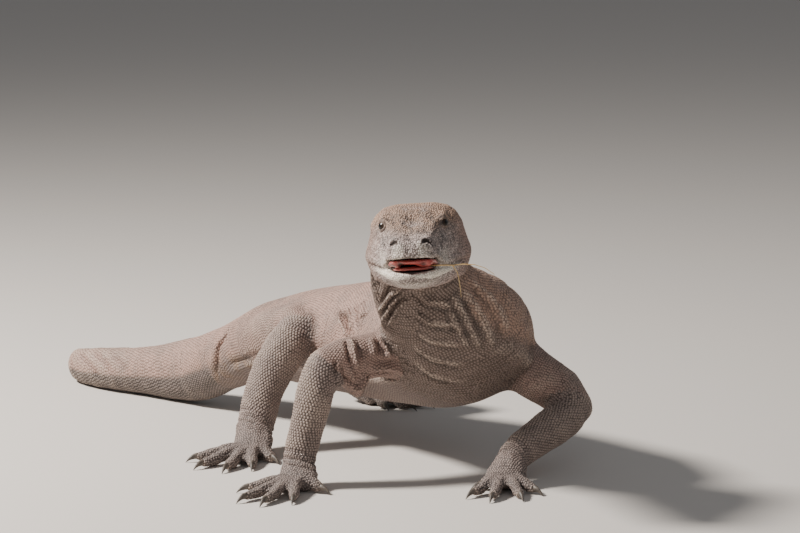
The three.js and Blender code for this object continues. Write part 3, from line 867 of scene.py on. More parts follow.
for name, values in markings(points, home).items():
    put_values(skin.data, name, values)
put_values(skin.data, "hollow_shade", hollow_shade)
put_values(skin.data, "worn_ridge", worn_ridge)
put_values(skin.data, "rise", np.zeros(count))
put_values(skin.data, "tone", np.full(count, 0.5))


# Colour is mixed from plain sums of values, so each value carries its own arithmetic.
class Value:
    def __init__(self, paint, socket):
        self.paint = paint
        self.socket = socket

    def math(self, operation, *others):
        return self.paint.node("ShaderNodeMath", {"operation": operation}, [self, *others])

    def __add__(self, other):
        return self.math("ADD", other)

    def __mul__(self, other):
        return self.math("MULTIPLY", other)

    def __rsub__(self, other):
        return (self * -1) + other

    __radd__ = __add__
    __rmul__ = __mul__


class Paint:
    def __init__(self, name):
        self.material = bpy.data.materials.new(name)
        self.material.use_nodes = True
        self.tree = self.material.node_tree
        self.shader = self.tree.nodes["Principled BSDF"]

    def node(self, kind, settings, inputs, out=0):
        made = self.tree.nodes.new(kind)
        for key, value in settings.items():
            setattr(made, key, value)
        pairs = inputs.items() if isinstance(inputs, dict) else enumerate(inputs)
        for key, value in pairs:
            if isinstance(value, Value):
                self.tree.links.new(value.socket, made.inputs[key])
            else:
                made.inputs[key].default_value = value
        return Value(self, made.outputs[out])

    def place(self):
        return self.node("ShaderNodeTexCoord", {}, {}, "Object")

    def attribute(self, name):
        return self.node("ShaderNodeAttribute", {"attribute_name": name}, {}, "Fac")

    def clouds(self, scale, detail, roughness, distortion=0.0):
        inputs = {"Vector": self.place(), "Scale": scale, "Detail": detail, "Roughness": roughness}
        inputs["Distortion"] = distortion
        return self.node("ShaderNodeTexNoise", {}, inputs, "Fac")

    def cells(self, scale):
        inputs = {"Vector": self.place(), "Scale": scale}
        return self.node("ShaderNodeTexVoronoi", {"feature": "F1"}, inputs, "Distance")

    def between(self, low, high, value):
        settings = {"interpolation_type": "SMOOTHSTEP"}
        return self.node("ShaderNodeMapRange", settings, {"Value": value, "From Min": low, "From Max": high})

    def mix(self, amount, first, second):
        made = self.tree.nodes.new("ShaderNodeMix")
        made.data_type = "RGBA"
        made.clamp_factor = True
        for key, value in ((0, amount), (6, first), (7, second)):
            if isinstance(value, Value):
                self.tree.links.new(value.socket, made.inputs[key])
            else:
                made.inputs[key].default_value = value if key == 0 else (*value, 1)
        return Value(self, made.outputs[2])

    def bump(self, height, depth):
        return self.node("ShaderNodeBump", {}, {"Height": height, "Distance": depth, "Strength": 1.0})

    def finish(self, colour, roughness, normal=None):
        for key, value in (("Base Color", colour), ("Roughness", roughness), ("Normal", normal)):
            if isinstance(value, Value):
                self.tree.links.new(value.socket, self.shader.inputs[key])
            elif value is not None:
                self.shader.inputs[key].default_value = value
        return self.material


# Hide and scales share one finish: dusty pinkish tan over grey, with painted shade between the scales.
TAN = (0.420, 0.262, 0.212)
GREY = (0.215, 0.164, 0.144)
SLATE = (0.140, 0.122, 0.116)
DEEP_SHADE = (0.034, 0.028, 0.025)
CREASE_SHADE = (0.100, 0.066, 0.052)
CREAM = (0.92, 0.86, 0.75)
CROWN = (0.400, 0.250, 0.168)
SNOUT = (0.520, 0.425, 0.395)
BLOTCH = (0.72, 0.63, 0.58)
SPECKLE = (0.055, 0.046, 0.048)
RUST = (0.46, 0.27, 0.14)
DARK_SCALE = (0.085, 0.070, 0.062)
PALE_GRAIN = (0.52, 0.44, 0.38)
UNDERSIDE_SHADE = (0.075, 0.058, 0.050)
WORN = (0.56, 0.44, 0.36)
HOLLOW_SHADE = (0.045, 0.034, 0.028)
NOSTRIL_SHADE = (0.008, 0.006, 0.005)
LIP_CREASE_SHADE = (0.40, 0.33, 0.27)
BEAD_HIGHLIGHT = (0.46, 0.385, 0.345)


def hide_finish(name, fine_grain):
    paint = Paint(name)
    broad = paint.clouds(9, 4, 0.6)
    patches = paint.clouds(38, 4, 0.6, 0.4)
    grain = paint.clouds(420, 3, 0.65)
    dusty = paint.between(0.34, 0.62, broad * 0.55 + patches * 0.45)
    dark = paint.attribute("dark")
    tone = paint.attribute("tone")
    snout = paint.attribute("snout")
    blotches = paint.clouds(95, 4, 0.6, 0.6)
    speckles = paint.clouds(150, 2, 0.5, 0.3)
    # Each layer lies over the ones before it, by its amount.
    colour = paint.mix(dusty * 0.7 + 0.3, GREY, TAN)
    for amount, over in (
        (snout, SNOUT),
        (snout * paint.between(0.50, 0.60, blotches) * 0.80, BLOTCH),
        (paint.attribute("crown") * paint.between(0.25, 0.5, patches), CROWN),
        (snout * paint.between(0.545, 0.61, speckles) * 0.88, SPECKLE),
        # dark legs and feet, with painted shade on the undersides
        (dark * (0.65 + 0.35 * dusty), SLATE),
        (paint.attribute("dust") * paint.between(0.42, 0.55, patches), RUST),
        ((1 - tone) * (0.40 + 0.35 * snout), DARK_SCALE),
        (paint.between(0.60, 0.75, grain) * 0.25, PALE_GRAIN),
        # painted shade on the undersides, broken up in patches
        (paint.attribute("under") * paint.between(0.10, 0.55, patches) * 0.85, UNDERSIDE_SHADE),
        (paint.attribute("worn_ridge") * 0.55, WORN),
        # painted shade in the hollows of the folds
        (paint.attribute("hollow_shade") * 0.62, HOLLOW_SHADE),
        (paint.attribute("cream") * (0.78 + 0.22 * patches), CREAM),
        # nostrils painted black as the shade inside them
        (paint.attribute("nostril_shade"), NOSTRIL_SHADE),
    ):
        colour = paint.mix(amount, colour, over)
    # painted shade between the scales, paler on the cream lips
    shade_between_scales = paint.mix(dark * 1.3 + snout * 0.5, CREASE_SHADE, DEEP_SHADE)
    shade_between_scales = paint.mix(paint.attribute("cream"), shade_between_scales, LIP_CREASE_SHADE)
    rise = paint.attribute("rise")
    if fine_grain:
        cells = paint.cells(260)
        # the hide is painted darker as shade between the scales, most in the grooves of its fine cells
        groove_shade = paint.between(0.25, 0.62, cells)
        colour = paint.mix(0.30 + groove_shade * 0.45, colour, shade_between_scales)
        normal = paint.bump(cells * -1 + grain * 0.2, 0.0010)
    else:
        # painted highlight on the top of each scale, strongest on the dark legs
        bead_highlight = paint.between(0.80, 1.0, rise) * (0.15 + 0.45 * dark)
        colour = paint.mix(bead_highlight, colour, BEAD_HIGHLIGHT)
        # each scale's lower sides painted darker, as shade at its foot
        colour = paint.mix(1 - paint.between(0.12, 0.72, rise), colour, shade_between_scales)
        normal = paint.bump(grain, 0.0003)
    rough = paint.between(0.3, 0.7, grain) * 0.2 + 0.60
    return paint.finish(colour, rough, normal)


skin.data.materials.append(hide_finish("hide_between_scales", True))

bpy.ops.object.select_all(action="DESELECT")
for polygon in skin.data.polygons:
    polygon.use_smooth = True
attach(skin, "root")
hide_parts(*flesh)

# ------------------------------------------------------------------------------------ scales
# Hard beads of horny skin, each its own small dome sunk in the hide. They run in rings round
# the trunk, tail and legs, and are small plates on the head. They are widest on the tail and
# stand highest on the lower legs.

rng = np.random.default_rng(11)
skin_tree = skin_tree_now()
face_home = owners(face_centres(skin.data))

# Pitch and height of the scales on each part, in millimetres.
PITCH = {"neck": 5.0, "chest": 4.9, "abdomen": 4.9, "pelvis": 4.9, "head": 3.9, "lower_jaw": 3.9}
PITCH.update({"tail_1": 5.2, "tail_2": 5.6, "tail_3": 5.6, "tail_4": 5.2, "tail_5": 4.8})
HEIGHT = {"neck": 0.60, "chest": 0.46, "abdomen": 0.44, "pelvis": 0.48, "head": 0.42, "lower_jaw": 0.42}
HEIGHT.update({"tail_1": 0.50, "tail_2": 0.56, "tail_3": 0.58, "tail_4": 0.50, "tail_5": 0.42})
for leg in LEGS:
    PITCH.update(zip(parts_of(leg), (4.5, 4.9, 3.9)))
    HEIGHT.update(zip(parts_of(leg), (0.75, 1.20, 0.60)))
pitch_of = np.array([PITCH[name] for name in flesh]) / 1000
height_of = np.array([HEIGHT[name] for name in flesh]) / 1000

# Spacing, as shares of the pitch: from row to row, the least gap in the rows, and the gap of
# the scales that fill in between. On the snout they lie closer and are smaller.
ROW_GAP, LEAST_GAP, FILL_GAP = 0.84, 0.62, 0.80
SNOUT_FROM, SNOUT_GAP, SNOUT_SIZE = 120, 0.85, 0.86
roots = {}
CELL = 0.003


def cell_of(p):
    return (int(p[0] // CELL), int(p[1] // CELL), int(p[2] // CELL))


def crowded(p, gap):
    i, j, k = cell_of(p)
    reach = int(gap // CELL) + 1
    limit = gap * gap
    for a in range(i - reach, i + reach + 1):
        for b in range(j - reach, j + reach + 1):
            for c in range(k - reach, k + reach + 1):
                for q in roots.get((a, b, c), ()):
                    if (p[0] - q[0]) ** 2 + (p[1] - q[1]) ** 2 + (p[2] - q[2]) ** 2 < limit:
                        return True
    return False


scale_at = []
scale_out = []
scale_back = []
scale_part = []


def plant(place, out, back, part):
    roots.setdefault(cell_of(place), []).append(tuple(place))
    scale_at.append(tuple(place))
    scale_out.append(tuple(out))
    scale_back.append(tuple(back))
    scale_part.append(part)


def rings(line, reach, allowed):
    ahead = unit(np.gradient(line, axis=0))
    step = np.linalg.norm(line[1] - line[0])
    at = 0.0
    row = 0
    while at < len(line) - 1:
        i = int(at)
        centre = Vector(line[i] + (at - i) * (line[i + 1] - line[i]))
        along = Vector(ahead[i])
        side = Vector((0, 0, 1)).cross(along)
        if side.length < 0.2:
            side = Vector((1, 0, 0)).cross(along)
        side.normalize()
        over = along.cross(side)
        probes = 36
        rim = []
        for k in range(probes):
            turn = 2 * math.pi * k / probes
            ray = side * math.cos(turn) + over * math.sin(turn)
            place, out, face, far = skin_tree.ray_cast(centre, ray, reach)
            rim.append(far if place else None)
        known = [far for far in rim if far is not None]
        if not known:
            at += 0.006 / step
            continue
        usual = sorted(known)[len(known) // 2]
        rim = [usual if far is None else min(far, usual * 1.8) for far in rim]
        corners = [
            (far * math.cos(2 * math.pi * k / probes), far * math.sin(2 * math.pi * k / probes))
            for k, far in enumerate(rim)
        ]
        spans = [math.dist(corners[k], corners[(k + 1) % probes]) for k in range(probes)]
        run = np.concatenate([[0], np.cumsum(spans)])
        nearest = skin_tree.find_nearest(centre)[2]
        part_here = allowed[0] if nearest is None else face_home[nearest]
        pitch = pitch_of[part_here] if part_here in allowed else pitch_of[allowed[0]]
        number = max(int(run[-1] / pitch), 6)
        for n in range(number):
            spot = (n + 0.5 * (row % 2) + rng.uniform(-0.07, 0.07)) / number * run[-1] % run[-1]
            turn = 2 * math.pi * np.interp(spot, run, np.arange(probes + 1)) / probes
            ray = side * math.cos(turn) + over * math.sin(turn)
            lean = along * rng.uniform(-0.0005, 0.0005)
            place, out, face, far = skin_tree.ray_cast(centre + lean, ray, reach)
            if place is None or face_home[face] not in allowed:
                continue
            if out.dot(ray) < 0.25 or crowded(place, pitch * LEAST_GAP):
                continue
            plant(place, out, -along, int(face_home[face]))
        at += pitch * ROW_GAP / step
        row += 1


trunk_parts = numbers(["abdomen", "chest", "pelvis", "neck", *TAIL])
rings(even_line(SPINE, LINE_STEP), 0.2, trunk_parts)
for leg in LEGS:
    corners = LEG_LINES[leg]
    line = even_line(corners, LINE_STEP)[6:]
    upper, lower, foot = numbers(parts_of(leg))
    rings(line, 0.075, [lower, upper, foot])

# Bare skin that the rings missed, and the head, hands and toes, fill up with scales set close.
mesh = skin.data
mesh.calc_loop_triangles()
tri = rows_of(mesh.loop_triangles, "vertices", 3, np.int64)
tri_face = rows_of(mesh.loop_triangles, "polygon_index", 1, np.int64)[:, 0]
a, b, c = points[tri[:, 0]], points[tri[:, 1]], points[tri[:, 2]]
cross = np.cross(b - a, c - a)
area = np.linalg.norm(cross, axis=1) / 2
tri_part = face_home[tri_face]
want = area / (0.72 * pitch_of[tri_part] ** 2)
tri_face_at = in_head((a + b + c) / 3)
GAPE_FROM, FACES_GAPE = 96, 0.55
looks_up = unit(cross) @ head_up
inside_mouth = (tri_face_at[:, 1] > GAPE_FROM) & (
    ((tri_part == HEAD) & (looks_up < -FACES_GAPE)) | ((tri_part == JAW) & (looks_up > FACES_GAPE))
)
in_eye = eye_gap(tri_face_at) < BARE_ROUND_EYE
pitted = both_nostrils(tri_face_at) > 0.25
want[inside_mouth | in_eye | pitted] = 0
tries = rng.poisson(want * 9)
chosen = np.repeat(np.arange(len(tri)), tries)
rng.shuffle(chosen)
u = rng.random((len(chosen), 2))
over_one = u.sum(1) > 1
u[over_one] = 1 - u[over_one]
spots = a[chosen] + u[:, :1] * (b - a)[chosen] + u[:, 1:] * (c - a)[chosen]
outs = unit(cross)[chosen]
coarse_legs = [even_line(LEG_LINES[leg], 4 * LINE_STEP) for leg in LEGS]
lines = np.concatenate([spine[::4]] + coarse_legs)
ways = np.concatenate([spine_ahead[::4]] + [unit(np.gradient(line, axis=0)) for line in coarse_legs])
for spot, out, t in zip(spots.tolist(), outs, chosen):
    part = int(tri_part[t])
    gap = pitch_of[part] * FILL_GAP
    if part in (HEAD, JAW) and tri_face_at[t][1] > SNOUT_FROM:
        gap *= SNOUT_GAP
    if crowded(spot, gap):
        continue
    plant(spot, out, (0, 0, 0), part)

scale_at = np.array(scale_at)
scale_out = unit(np.array(scale_out))
scale_back = np.array(scale_back)
scale_part = np.array(scale_part)
missing = np.linalg.norm(scale_back, axis=1) < 0.5
guide = np.array([((lines - p) ** 2).sum(1).argmin() for p in scale_at[missing]])
scale_back[missing] = -ways[guide]
on_head = is_part(scale_part, ["head", "lower_jaw"])
scale_back[on_head] = -head_ahead
scale_back = scale_back - (scale_back * scale_out).sum(1)[:, None] * scale_out
flat = np.linalg.norm(scale_back, axis=1) < 1e-3
scale_back[flat] = np.cross(scale_out[flat], (0.3, 0.5, 0.8))
scale_back = unit(scale_back)
scale_side = np.cross(scale_out, scale_back)

# A place for each scale on the flattened hide: round the body against along it for the trunk
# and tail, and a strip of its own for the head and each leg.
MARGIN, FULL_LENGTH, BODY_WIDTH = 0.02, 0.96, 0.44
FIRST_STRIP, STRIP_STEP, STRIP_WIDTH = 0.48, 0.10, 0.09
PATCH_RADIUS = 0.0015
along, turn = round_body(scale_at)
flat_u = MARGIN + FULL_LENGTH * along / (len(spine) * LINE_STEP)
flat_v = MARGIN + BODY_WIDTH * (turn / (2 * math.pi) + 0.5)
strips = [["head", "lower_jaw"]] + [parts_of(leg) for leg in LEGS]
for k, names in enumerate(strips):
    own = is_part(scale_part, names)
    if k == 0:
        seen = in_head(scale_at[own])
        length, round_it = seen[:, 1] / 240 + 0.05, np.arctan2(seen[:, 2], seen[:, 0])
    else:
        leg_line = even_line(LEG_LINES[LEGS[k - 1]], LINE_STEP)
        way = unit(leg_line[-1] - leg_line[0])
        length = ((scale_at[own] - leg_line[0]) @ way + 0.05) / 0.45
        nearest = np.array([((leg_line - p) ** 2).sum(1).argmin() for p in scale_at[own]])
        away = scale_at[own] - leg_line[nearest]
        sideways = unit(np.cross(way, (0.2, 0.9, 0.1)))
        round_it = np.arctan2(away @ np.cross(way, sideways), away @ sideways)
    flat_u[own] = MARGIN + FULL_LENGTH * np.clip(length, 0, 1)
    flat_v[own] = FIRST_STRIP + STRIP_STEP * k + STRIP_WIDTH * (round_it / (2 * math.pi) + 0.5)

# One scale: a six-sided dome on a short sunken foot, longer than wide, highest towards its back.
SIDES = 6
ring_turn = 2 * math.pi * (np.arange(SIDES) + 0.5) / SIDES
ring = np.stack([np.cos(ring_turn), np.sin(ring_turn)], axis=1)
dome = np.concatenate([
    np.column_stack([ring * 0.98, np.full(SIDES, -0.55)]),
    np.column_stack([ring * 0.76 + (0, 0.03), np.full(SIDES, 0.62)]),
    [[0, 0.10, 1.0]],
])
dome_rise = np.concatenate([np.zeros(SIDES), np.full(SIDES, 0.8), [1.0]])
dome_faces = [(0, 5, 4), (0, 4, 3), (0, 3, 2), (0, 2, 1)]
for k in range(SIDES):
    after = (k + 1) % SIDES
    dome_faces += [(k, after, SIDES + after), (k, SIDES + after, SIDES + k)]
    dome_faces += [(SIDES + k, SIDES + after, 2 * SIDES)]
dome_faces = np.array(dome_faces)

HALF_WIDTH = 0.545
CROWN_HEIGHT = 1.7
size = pitch_of[scale_part] * rng.uniform(0.90, 1.08, len(scale_at)) * HALF_WIDTH
seen_on_head = in_head(scale_at)
size[on_head & (seen_on_head[:, 1] > SNOUT_FROM)] *= SNOUT_SIZE
on_leg = is_part(scale_part, [name for leg in LEGS for name in parts_of(leg)])
size[on_leg] *= 0.95
tall = height_of[scale_part] * rng.uniform(0.8, 1.25, len(scale_at))
tall[on_head & (seen_on_head[:, 2] > 44)] *= CROWN_HEIGHT
tail_belly = (scale_at[:, 2] < 0.035) & is_part(scale_part, TAIL)
tall[tail_belly] *= 1.3
scale_tone = np.clip(rng.normal(0.66, 0.20, len(scale_at)), 0, 1)
scale_tone[on_head] = np.clip(rng.normal(0.60, 0.36, int(on_head.sum())), 0, 1)
scale_paint = hide_finish("scales", False)
marks = markings(scale_at, scale_part)
skin_points = KDTree(count)
for i, place in enumerate(points):
    skin_points.insert(place, i)
skin_points.balance()
nearest_skin = np.array([skin_points.find(place)[1] for place in scale_at])
marks["hollow_shade"] = hollow_shade[nearest_skin]
marks["worn_ridge"] = worn_ridge[nearest_skin]


def coat_piece(name, chosen):
    number = len(chosen)
    wide = size[chosen][:, None, None]
    place = (
        scale_at[chosen][:, None, :]
        + dome[None, :, :1] * wide * 0.96 * scale_side[chosen][:, None, :]
        + dome[None, :, 1:2] * wide * 1.06 * scale_back[chosen][:, None, :]
        + dome[None, :, 2:] * tall[chosen][:, None, None] * scale_out[chosen][:, None, :]
    )
    place[:, :, 2] = np.maximum(place[:, :, 2], 0.0002)
    corners = (dome_faces[None, :, :] + np.arange(number)[:, None, None] * len(dome)).reshape(-1, 3)
    mesh = bpy.data.meshes.new(name)
    mesh.vertices.add(number * len(dome))
    mesh.vertices.foreach_set("co", place.astype(np.float32).ravel())
    mesh.loops.add(len(corners) * 3)
    mesh.loops.foreach_set("vertex_index", corners.ravel())
    mesh.polygons.add(len(corners))
    mesh.polygons.foreach_set("loop_start", np.arange(len(corners)) * 3)
    mesh.polygons.foreach_set("use_smooth", np.ones(len(corners), dtype=bool))
    mesh.update(calc_edges=True)
    for key, values in marks.items():
        put_values(mesh, key, np.repeat(values[chosen], len(dome)))
    put_values(mesh, "tone", np.repeat(scale_tone[chosen], len(dome)))
    put_values(mesh, "rise", np.tile(dome_rise, number))
    layer = mesh.uv_layers.new(name="OFBake")
    spread = np.tile(dome[:, :2] * PATCH_RADIUS, (number, 1))
    root_uv = np.repeat(np.stack([flat_u[chosen], flat_v[chosen]], axis=1), len(dome), axis=0)
    layer.data.foreach_set("uv", (root_uv + spread)[corners.ravel()].astype(np.float32).ravel())
    piece = bpy.data.objects.new(name, mesh)
    bpy.context.scene.collection.objects.link(piece)
    mesh.materials.append(scale_paint)
    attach(piece, "root")


MOST_IN_PIECE = 9000


def coat(name, parts):
    own = np.where(is_part(scale_part, parts))[0]
    pieces = max(math.ceil(len(own) / MOST_IN_PIECE), 1)
    order = own[np.argsort(scale_at[own][:, 1], kind="stable")]
    for k, share in enumerate(np.array_split(order, pieces)):
        coat_piece(f"scales_{name}_{k + 1}", share)


coat("head", ["head", "lower_jaw"])
coat("neck", ["neck"])
coat("trunk", ["chest", "abdomen", "pelvis"])
coat("tail", TAIL)
for leg in LEGS:
    coat(leg, parts_of(leg))

# -------------------------------------------------------------------------------------- eyes
# Small dark eyeballs set under the brow, with a brown iris and a round pupil under one wet
# clear surface. Each sits in its lids, and the cornea bulges a little.

EYE_RADIUS = 0.0094
CORNEA = 0.0006
IRIS_DEEP = (0.014, 0.008, 0.005)
IRIS_BROWN = (0.042, 0.022, 0.011)
PUPIL = (0.004, 0.003, 0.003)
EYE_RIM = (0.030, 0.018, 0.014)


def eye_finish(name, centre, gaze):
    paint = Paint(name)
    placed = paint.node("ShaderNodeVectorMath", {"operation": "SUBTRACT"}, [paint.place(), tuple(centre)])
    ahead = paint.node("ShaderNodeVectorMath", {"operation": "DOT_PRODUCT"}, [placed, tuple(gaze)], "Value")
    off_axis = 1 - ahead * (1 / EYE_RADIUS)
    streaks = paint.clouds(900, 3, 0.6)
    iris = paint.mix(streaks, IRIS_DEEP, IRIS_BROWN)
    colour = paint.mix(paint.between(0.062, 0.040, off_axis), iris, PUPIL)
    colour = paint.mix(paint.between(0.22, 0.30, off_axis), colour, EYE_RIM)
    paint.shader.inputs["Specular IOR Level"].default_value = 0.25
    paint.shader.inputs["Coat Weight"].default_value = 0.12
    paint.shader.inputs["Coat Roughness"].default_value = 0.04
    return paint.finish(colour, 0.30)


for name, hand in (("eye_right", -1), ("eye_left", 1)):
    centre = head_place(*on_side(EYE_AT, hand))
    gaze = unit(np.array([hand * 0.84, 0.52, 0.10])) @ head_axes
    unpick()
    bpy.ops.mesh.primitive_uv_sphere_add(segments=40, ring_count=24, radius=EYE_RADIUS, location=centre)
    ball = bpy.context.active_object
    ball.name = name + "_ball"
    bpy.ops.object.transform_apply(location=True, rotation=True, scale=True)
    # The cornea bulges a little over the iris.
    shape = points_of(ball.data)
    out = unit(shape - centre)
    put_points(ball.data, shape + out * (CORNEA * ramp(out @ gaze, 0.80, 0.97))[:, None])
    pick(ball)
    bpy.ops.object.shade_smooth()
    ball.data.materials.append(eye_finish(name + "_wet", centre, gaze))
    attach(ball, "root")
    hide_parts(name)

# ------------------------------------------------------------------------------------- mouth
# Inside the lips: a swollen red gum that hides the teeth above, a ribbed palate, and the moist
# floor of the mouth behind the lower lip.

MOUTH_SHADE = (0.035, 0.006, 0.006)
LINING_VOXEL = 0.0011


def lining_finish(name, red, pale):
    paint = Paint(name)
    soft = paint.clouds(120, 4, 0.6)
    fine = paint.clouds(600, 3, 0.6)
    colour = paint.mix(paint.between(0.35, 0.68, soft), red, pale)
    # painted shade in the pits of the gum and towards the back of the mouth
    colour = paint.mix(paint.attribute("well"), colour, MOUTH_SHADE)
    paint.shader.inputs["Coat Weight"].default_value = 0.35
    paint.shader.inputs["Coat Roughness"].default_value = 0.15
    normal = paint.bump(soft * 0.6 + fine * 0.4, 0.0012)
    return paint.finish(colour, paint.between(0.3, 0.7, fine) * 0.2 + 0.25, normal)


for name, wider, longer, plump, red, pale in (
    ("palate", 1.06, 1.01, 2.9, (0.34, 0.038, 0.032), (0.52, 0.115, 0.095)),
    ("mouth_floor", 0.98, 0.97, 0.9, (0.34, 0.060, 0.050), (0.48, 0.14, 0.115)),
):
    lining = copy_of([name], name + "_lining")
    apply_modifier(lining, "REMESH", mode="VOXEL", voxel_size=LINING_VOXEL)
    shape = in_head(points_of(lining.data))
    middle = shape.mean(0)
    shape[:, 0] *= wider
    shape[:, 1] = middle[1] + (shape[:, 1] - middle[1]) * longer
    # The gum swells towards the gape, most at the front.
    front = ramp(shape[:, 1], 150, 186)
    heights = (-8.5, 1.2, 6.2, 6.8) if name == "palate" else (-9.5, -8.6, -6.8, -6.2)
    level = np.interp(shape[:, 1], (150, 168, 190, 212), heights)
    inwards = -1 if name == "palate" else 1
    past = (shape[:, 2] - level) * inwards
    arch = 0.30 + 0.70 * ramp(np.abs(shape[:, 0] + 4), 5, 19) if name == "palate" else 1
    shape[:, 2] += np.where(past > 0, past * plump * front * arch, 0) * inwards
    rim = np.abs(shape[:, 0]) / 30
    around = np.arctan2(shape[:, 0], shape[:, 1] - 150)
    if name == "palate":
        shape[:, 2] -= 0.8 * (np.sin(around * 26) * 0.5 + 0.5) * ramp(rim, 0.3, 0.8) * (past > 0)
    shape = eased(shape, edges_of(lining.data), 12, 0.5)
    wells = np.zeros(len(shape))
    # Two pits in the front of the gum, painted dark as the shade in them.
    if name == "palate":
        for left, up, wide, depth in ((-28, -0.5, 3.4, 1.0), (-16, 3.0, 4.6, 1.0), (17, 2.6, 4.0, 0.7)):
            well = depth * np.exp(-(((shape[:, ::2] - (left, up)) / (wide * 1.2, wide)) ** 2).sum(1))
            wells = np.maximum(wells, well * ramp(shape[:, 1], 168, 180))
    shape[:, 1] -= 5.0 * wells
    # painted shade deepening towards the back of the mouth
    back = ramp(shape[:, 1], 176, 154)
    put_points(lining.data, from_head(shape))
    put_values(lining.data, "well", np.clip(wells * 1.3 + back, 0, 1))
    pick(lining)
    bpy.ops.object.shade_smooth()
    lining.data.materials.append(lining_finish(name + "_flesh", red, pale))
    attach(lining, "root")
    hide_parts(name)

# ------------------------------------------------------------------------------------ tongue
# A long forked tongue, out of the left of the gape: a soft round stem and two fine tines of
# yellowish flesh with a moist surface.

TONGUE_DEEP = (0.40, 0.24, 0.085)
TONGUE_PALE = (0.62, 0.43, 0.19)
tongue = copy_of(["tongue"], "forked_tongue")
apply_modifier(tongue, "REMESH", mode="VOXEL", voxel_size=0.0005)
put_points(tongue.data, eased(points_of(tongue.data), edges_of(tongue.data), 8, 0.5))
pick(tongue)
bpy.ops.object.shade_smooth()
tongue_paint = Paint("tongue_moist")
tongue_tone = tongue_paint.clouds(160, 3, 0.6)
tongue_paint.shader.inputs["Coat Weight"].default_value = 0.3
tongue_colour = tongue_paint.mix(tongue_paint.between(0.3, 0.7, tongue_tone), TONGUE_DEEP, TONGUE_PALE)
tongue.data.materials.append(tongue_paint.finish(tongue_colour, 0.35, tongue_paint.bump(tongue_tone, 0.0004)))
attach(tongue, "root")
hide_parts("tongue")

# ------------------------------------------------------------------------------------- claws
# Twenty curved claws of worn dark horn, each rooted in the end of its toe, flattened at the
# sides, and paler and dusty towards the root.

CLAW_LONG = 0.024
CLAW_THICK = 0.0050
CLAW_CURL = math.radians(62)
CLAW_RISE = math.radians(3)
CLAW_SPAN = 0.0205  # from root to tip, seen from above
CLAW_SUNK = 0.0035
CLAW_FLAT = 0.72
unpick()
bpy.ops.mesh.primitive_circle_add(vertices=12, radius=CLAW_THICK, fill_type="NGON", location=(0, 0, 0))
first_claw = bpy.context.active_object
edit(first_claw, "FACE")
bpy.ops.mesh.select_all(action="SELECT")
RINGS = 9
sizes = [(1 - (k / RINGS) ** 1.6) for k in range(RINGS + 1)]
for k in range(1, RINGS + 1):
    bpy.ops.mesh.extrude_region_move(TRANSFORM_OT_translate={"value": (0, 0, 0)})
    bend = CLAW_CURL * (k - 0.5) / RINGS
    shift = (0, math.sin(bend) * CLAW_LONG / RINGS, math.cos(bend) * CLAW_LONG / RINGS)
    bpy.ops.transform.translate(value=shift)
    bpy.ops.transform.resize(value=(max(sizes[k], 0.06) / max(sizes[k - 1], 0.06),) * 3)
finish_edit()
claw_shape = points_of(first_claw.data)
claw_shape[:, 0] *= CLAW_FLAT
put_points(first_claw.data, claw_shape)
edit(first_claw, "VERT")
bpy.ops.mesh.select_all(action="SELECT")
bpy.ops.mesh.normals_make_consistent(inside=False)
finish_edit()
first_claw_shape = points_of(first_claw.data)

HORN_DARK = (0.040, 0.033, 0.028)
HORN_WORN = (0.12, 0.098, 0.080)
HORN_ROOT = (0.20, 0.165, 0.138)
horn = Paint("claw_horn")
horn_streak = horn.clouds(260, 4, 0.6)
horn_rise = horn.attribute("rise")
horn_colour = horn.mix(horn.between(0.3, 0.7, horn_streak), HORN_DARK, HORN_WORN)
horn_colour = horn.mix(horn.between(0.50, 0.0, horn_rise) * 0.5, horn_colour, HORN_ROOT)
horn_finish = horn.finish(horn_colour, horn_streak * 0.2 + 0.38, horn.bump(horn_streak, 0.0006))

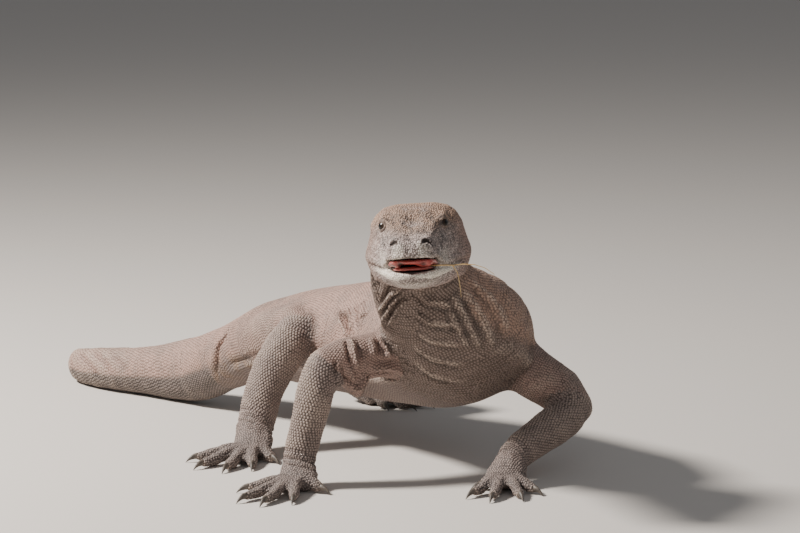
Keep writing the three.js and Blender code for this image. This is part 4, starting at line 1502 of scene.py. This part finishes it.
for leg in LEGS:
    palm = np.array(LEG_LINES[leg][3])
    for toe in range(1, 6):
        node = f"{leg}_claw_{toe}"
        solid = points_of(frame["nodes"][node].data)
        reach = np.linalg.norm(solid[:, :2] - palm[:2], axis=1)
        root = solid[reach < reach.min() + 0.0022].mean(0)
        tip = solid[reach > reach.max() - 0.0015].mean(0)
        ahead = tip - root
        ahead[2] = 0
        ahead = unit(ahead)
        side = np.cross((0, 0, 1), ahead)
        upward = np.array([0, 0, 1.0])
        forward = ahead * math.cos(CLAW_RISE) + upward * math.sin(CLAW_RISE)
        downward = ahead * math.sin(CLAW_RISE) - upward * math.cos(CLAW_RISE)
        span = np.linalg.norm((tip - root)[:2])
        size_of = span / CLAW_SPAN
        start = root - ahead * CLAW_SUNK
        placed = start + size_of * (
            first_claw_shape[:, :1] * side
            + first_claw_shape[:, 1:2] * downward
            + first_claw_shape[:, 2:] * forward
        )
        placed[:, 2] = np.maximum(placed[:, 2], FLOOR_CLEAR)
        claw = bpy.data.objects.new(node + "_horn", first_claw.data.copy())
        bpy.context.scene.collection.objects.link(claw)
        put_points(claw.data, placed)
        put_values(claw.data, "rise", np.clip(first_claw_shape[:, 2] / 0.018, 0, 1))
        claw.data.materials.append(horn_finish)
        pick(claw)
        bpy.ops.object.shade_smooth()
        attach(claw, "root")
        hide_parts(node)
bpy.data.objects.remove(first_claw)

# ------------------------------------------------------------------------------------- stage
# A plain pale floor and soft lights: a broad key from high on the animal's right, behind, and
# a weak fill all round.

bpy.ops.mesh.primitive_plane_add(size=60, location=(0, 0, 0))
floor = bpy.context.active_object
floor.name = "floor"
floor_paint = Paint("pale_floor")
floor.data.materials.append(floor_paint.finish((0.62, 0.58, 0.54, 1), 0.9))


def panel(name, direction, distance, size, power, colour):
    light = bpy.data.lights.new(name, "AREA")
    light.shape = "DISK"
    light.size = size
    light.energy = power
    light.color = colour
    lamp = bpy.data.objects.new(name, light)
    away = Vector(direction).normalized()
    lamp.location = Vector((-0.15, -0.1, 0.2)) + away * distance
    lamp.rotation_euler = away.to_track_quat("Z", "Y").to_euler()
    bpy.context.scene.collection.objects.link(lamp)


panel("key", (-0.63, 0.34, 0.70), 4.0, 0.7, 400, (1.0, 0.95, 0.89))
panel("fill_front", (-0.5, -0.8, 0.5), 5.0, 3.0, 22, (0.95, 0.97, 1.0))
panel("fill_left", (0.9, -0.3, 0.5), 5.0, 3.0, 16, (0.95, 0.97, 1.0))
sky = bpy.data.worlds.new("studio")
sky.use_nodes = True
sky.node_tree.nodes["Background"].inputs["Color"].default_value = (0.86, 0.88, 0.92, 1)
sky.node_tree.nodes["Background"].inputs["Strength"].default_value = 0.22
bpy.context.scene.world = sky
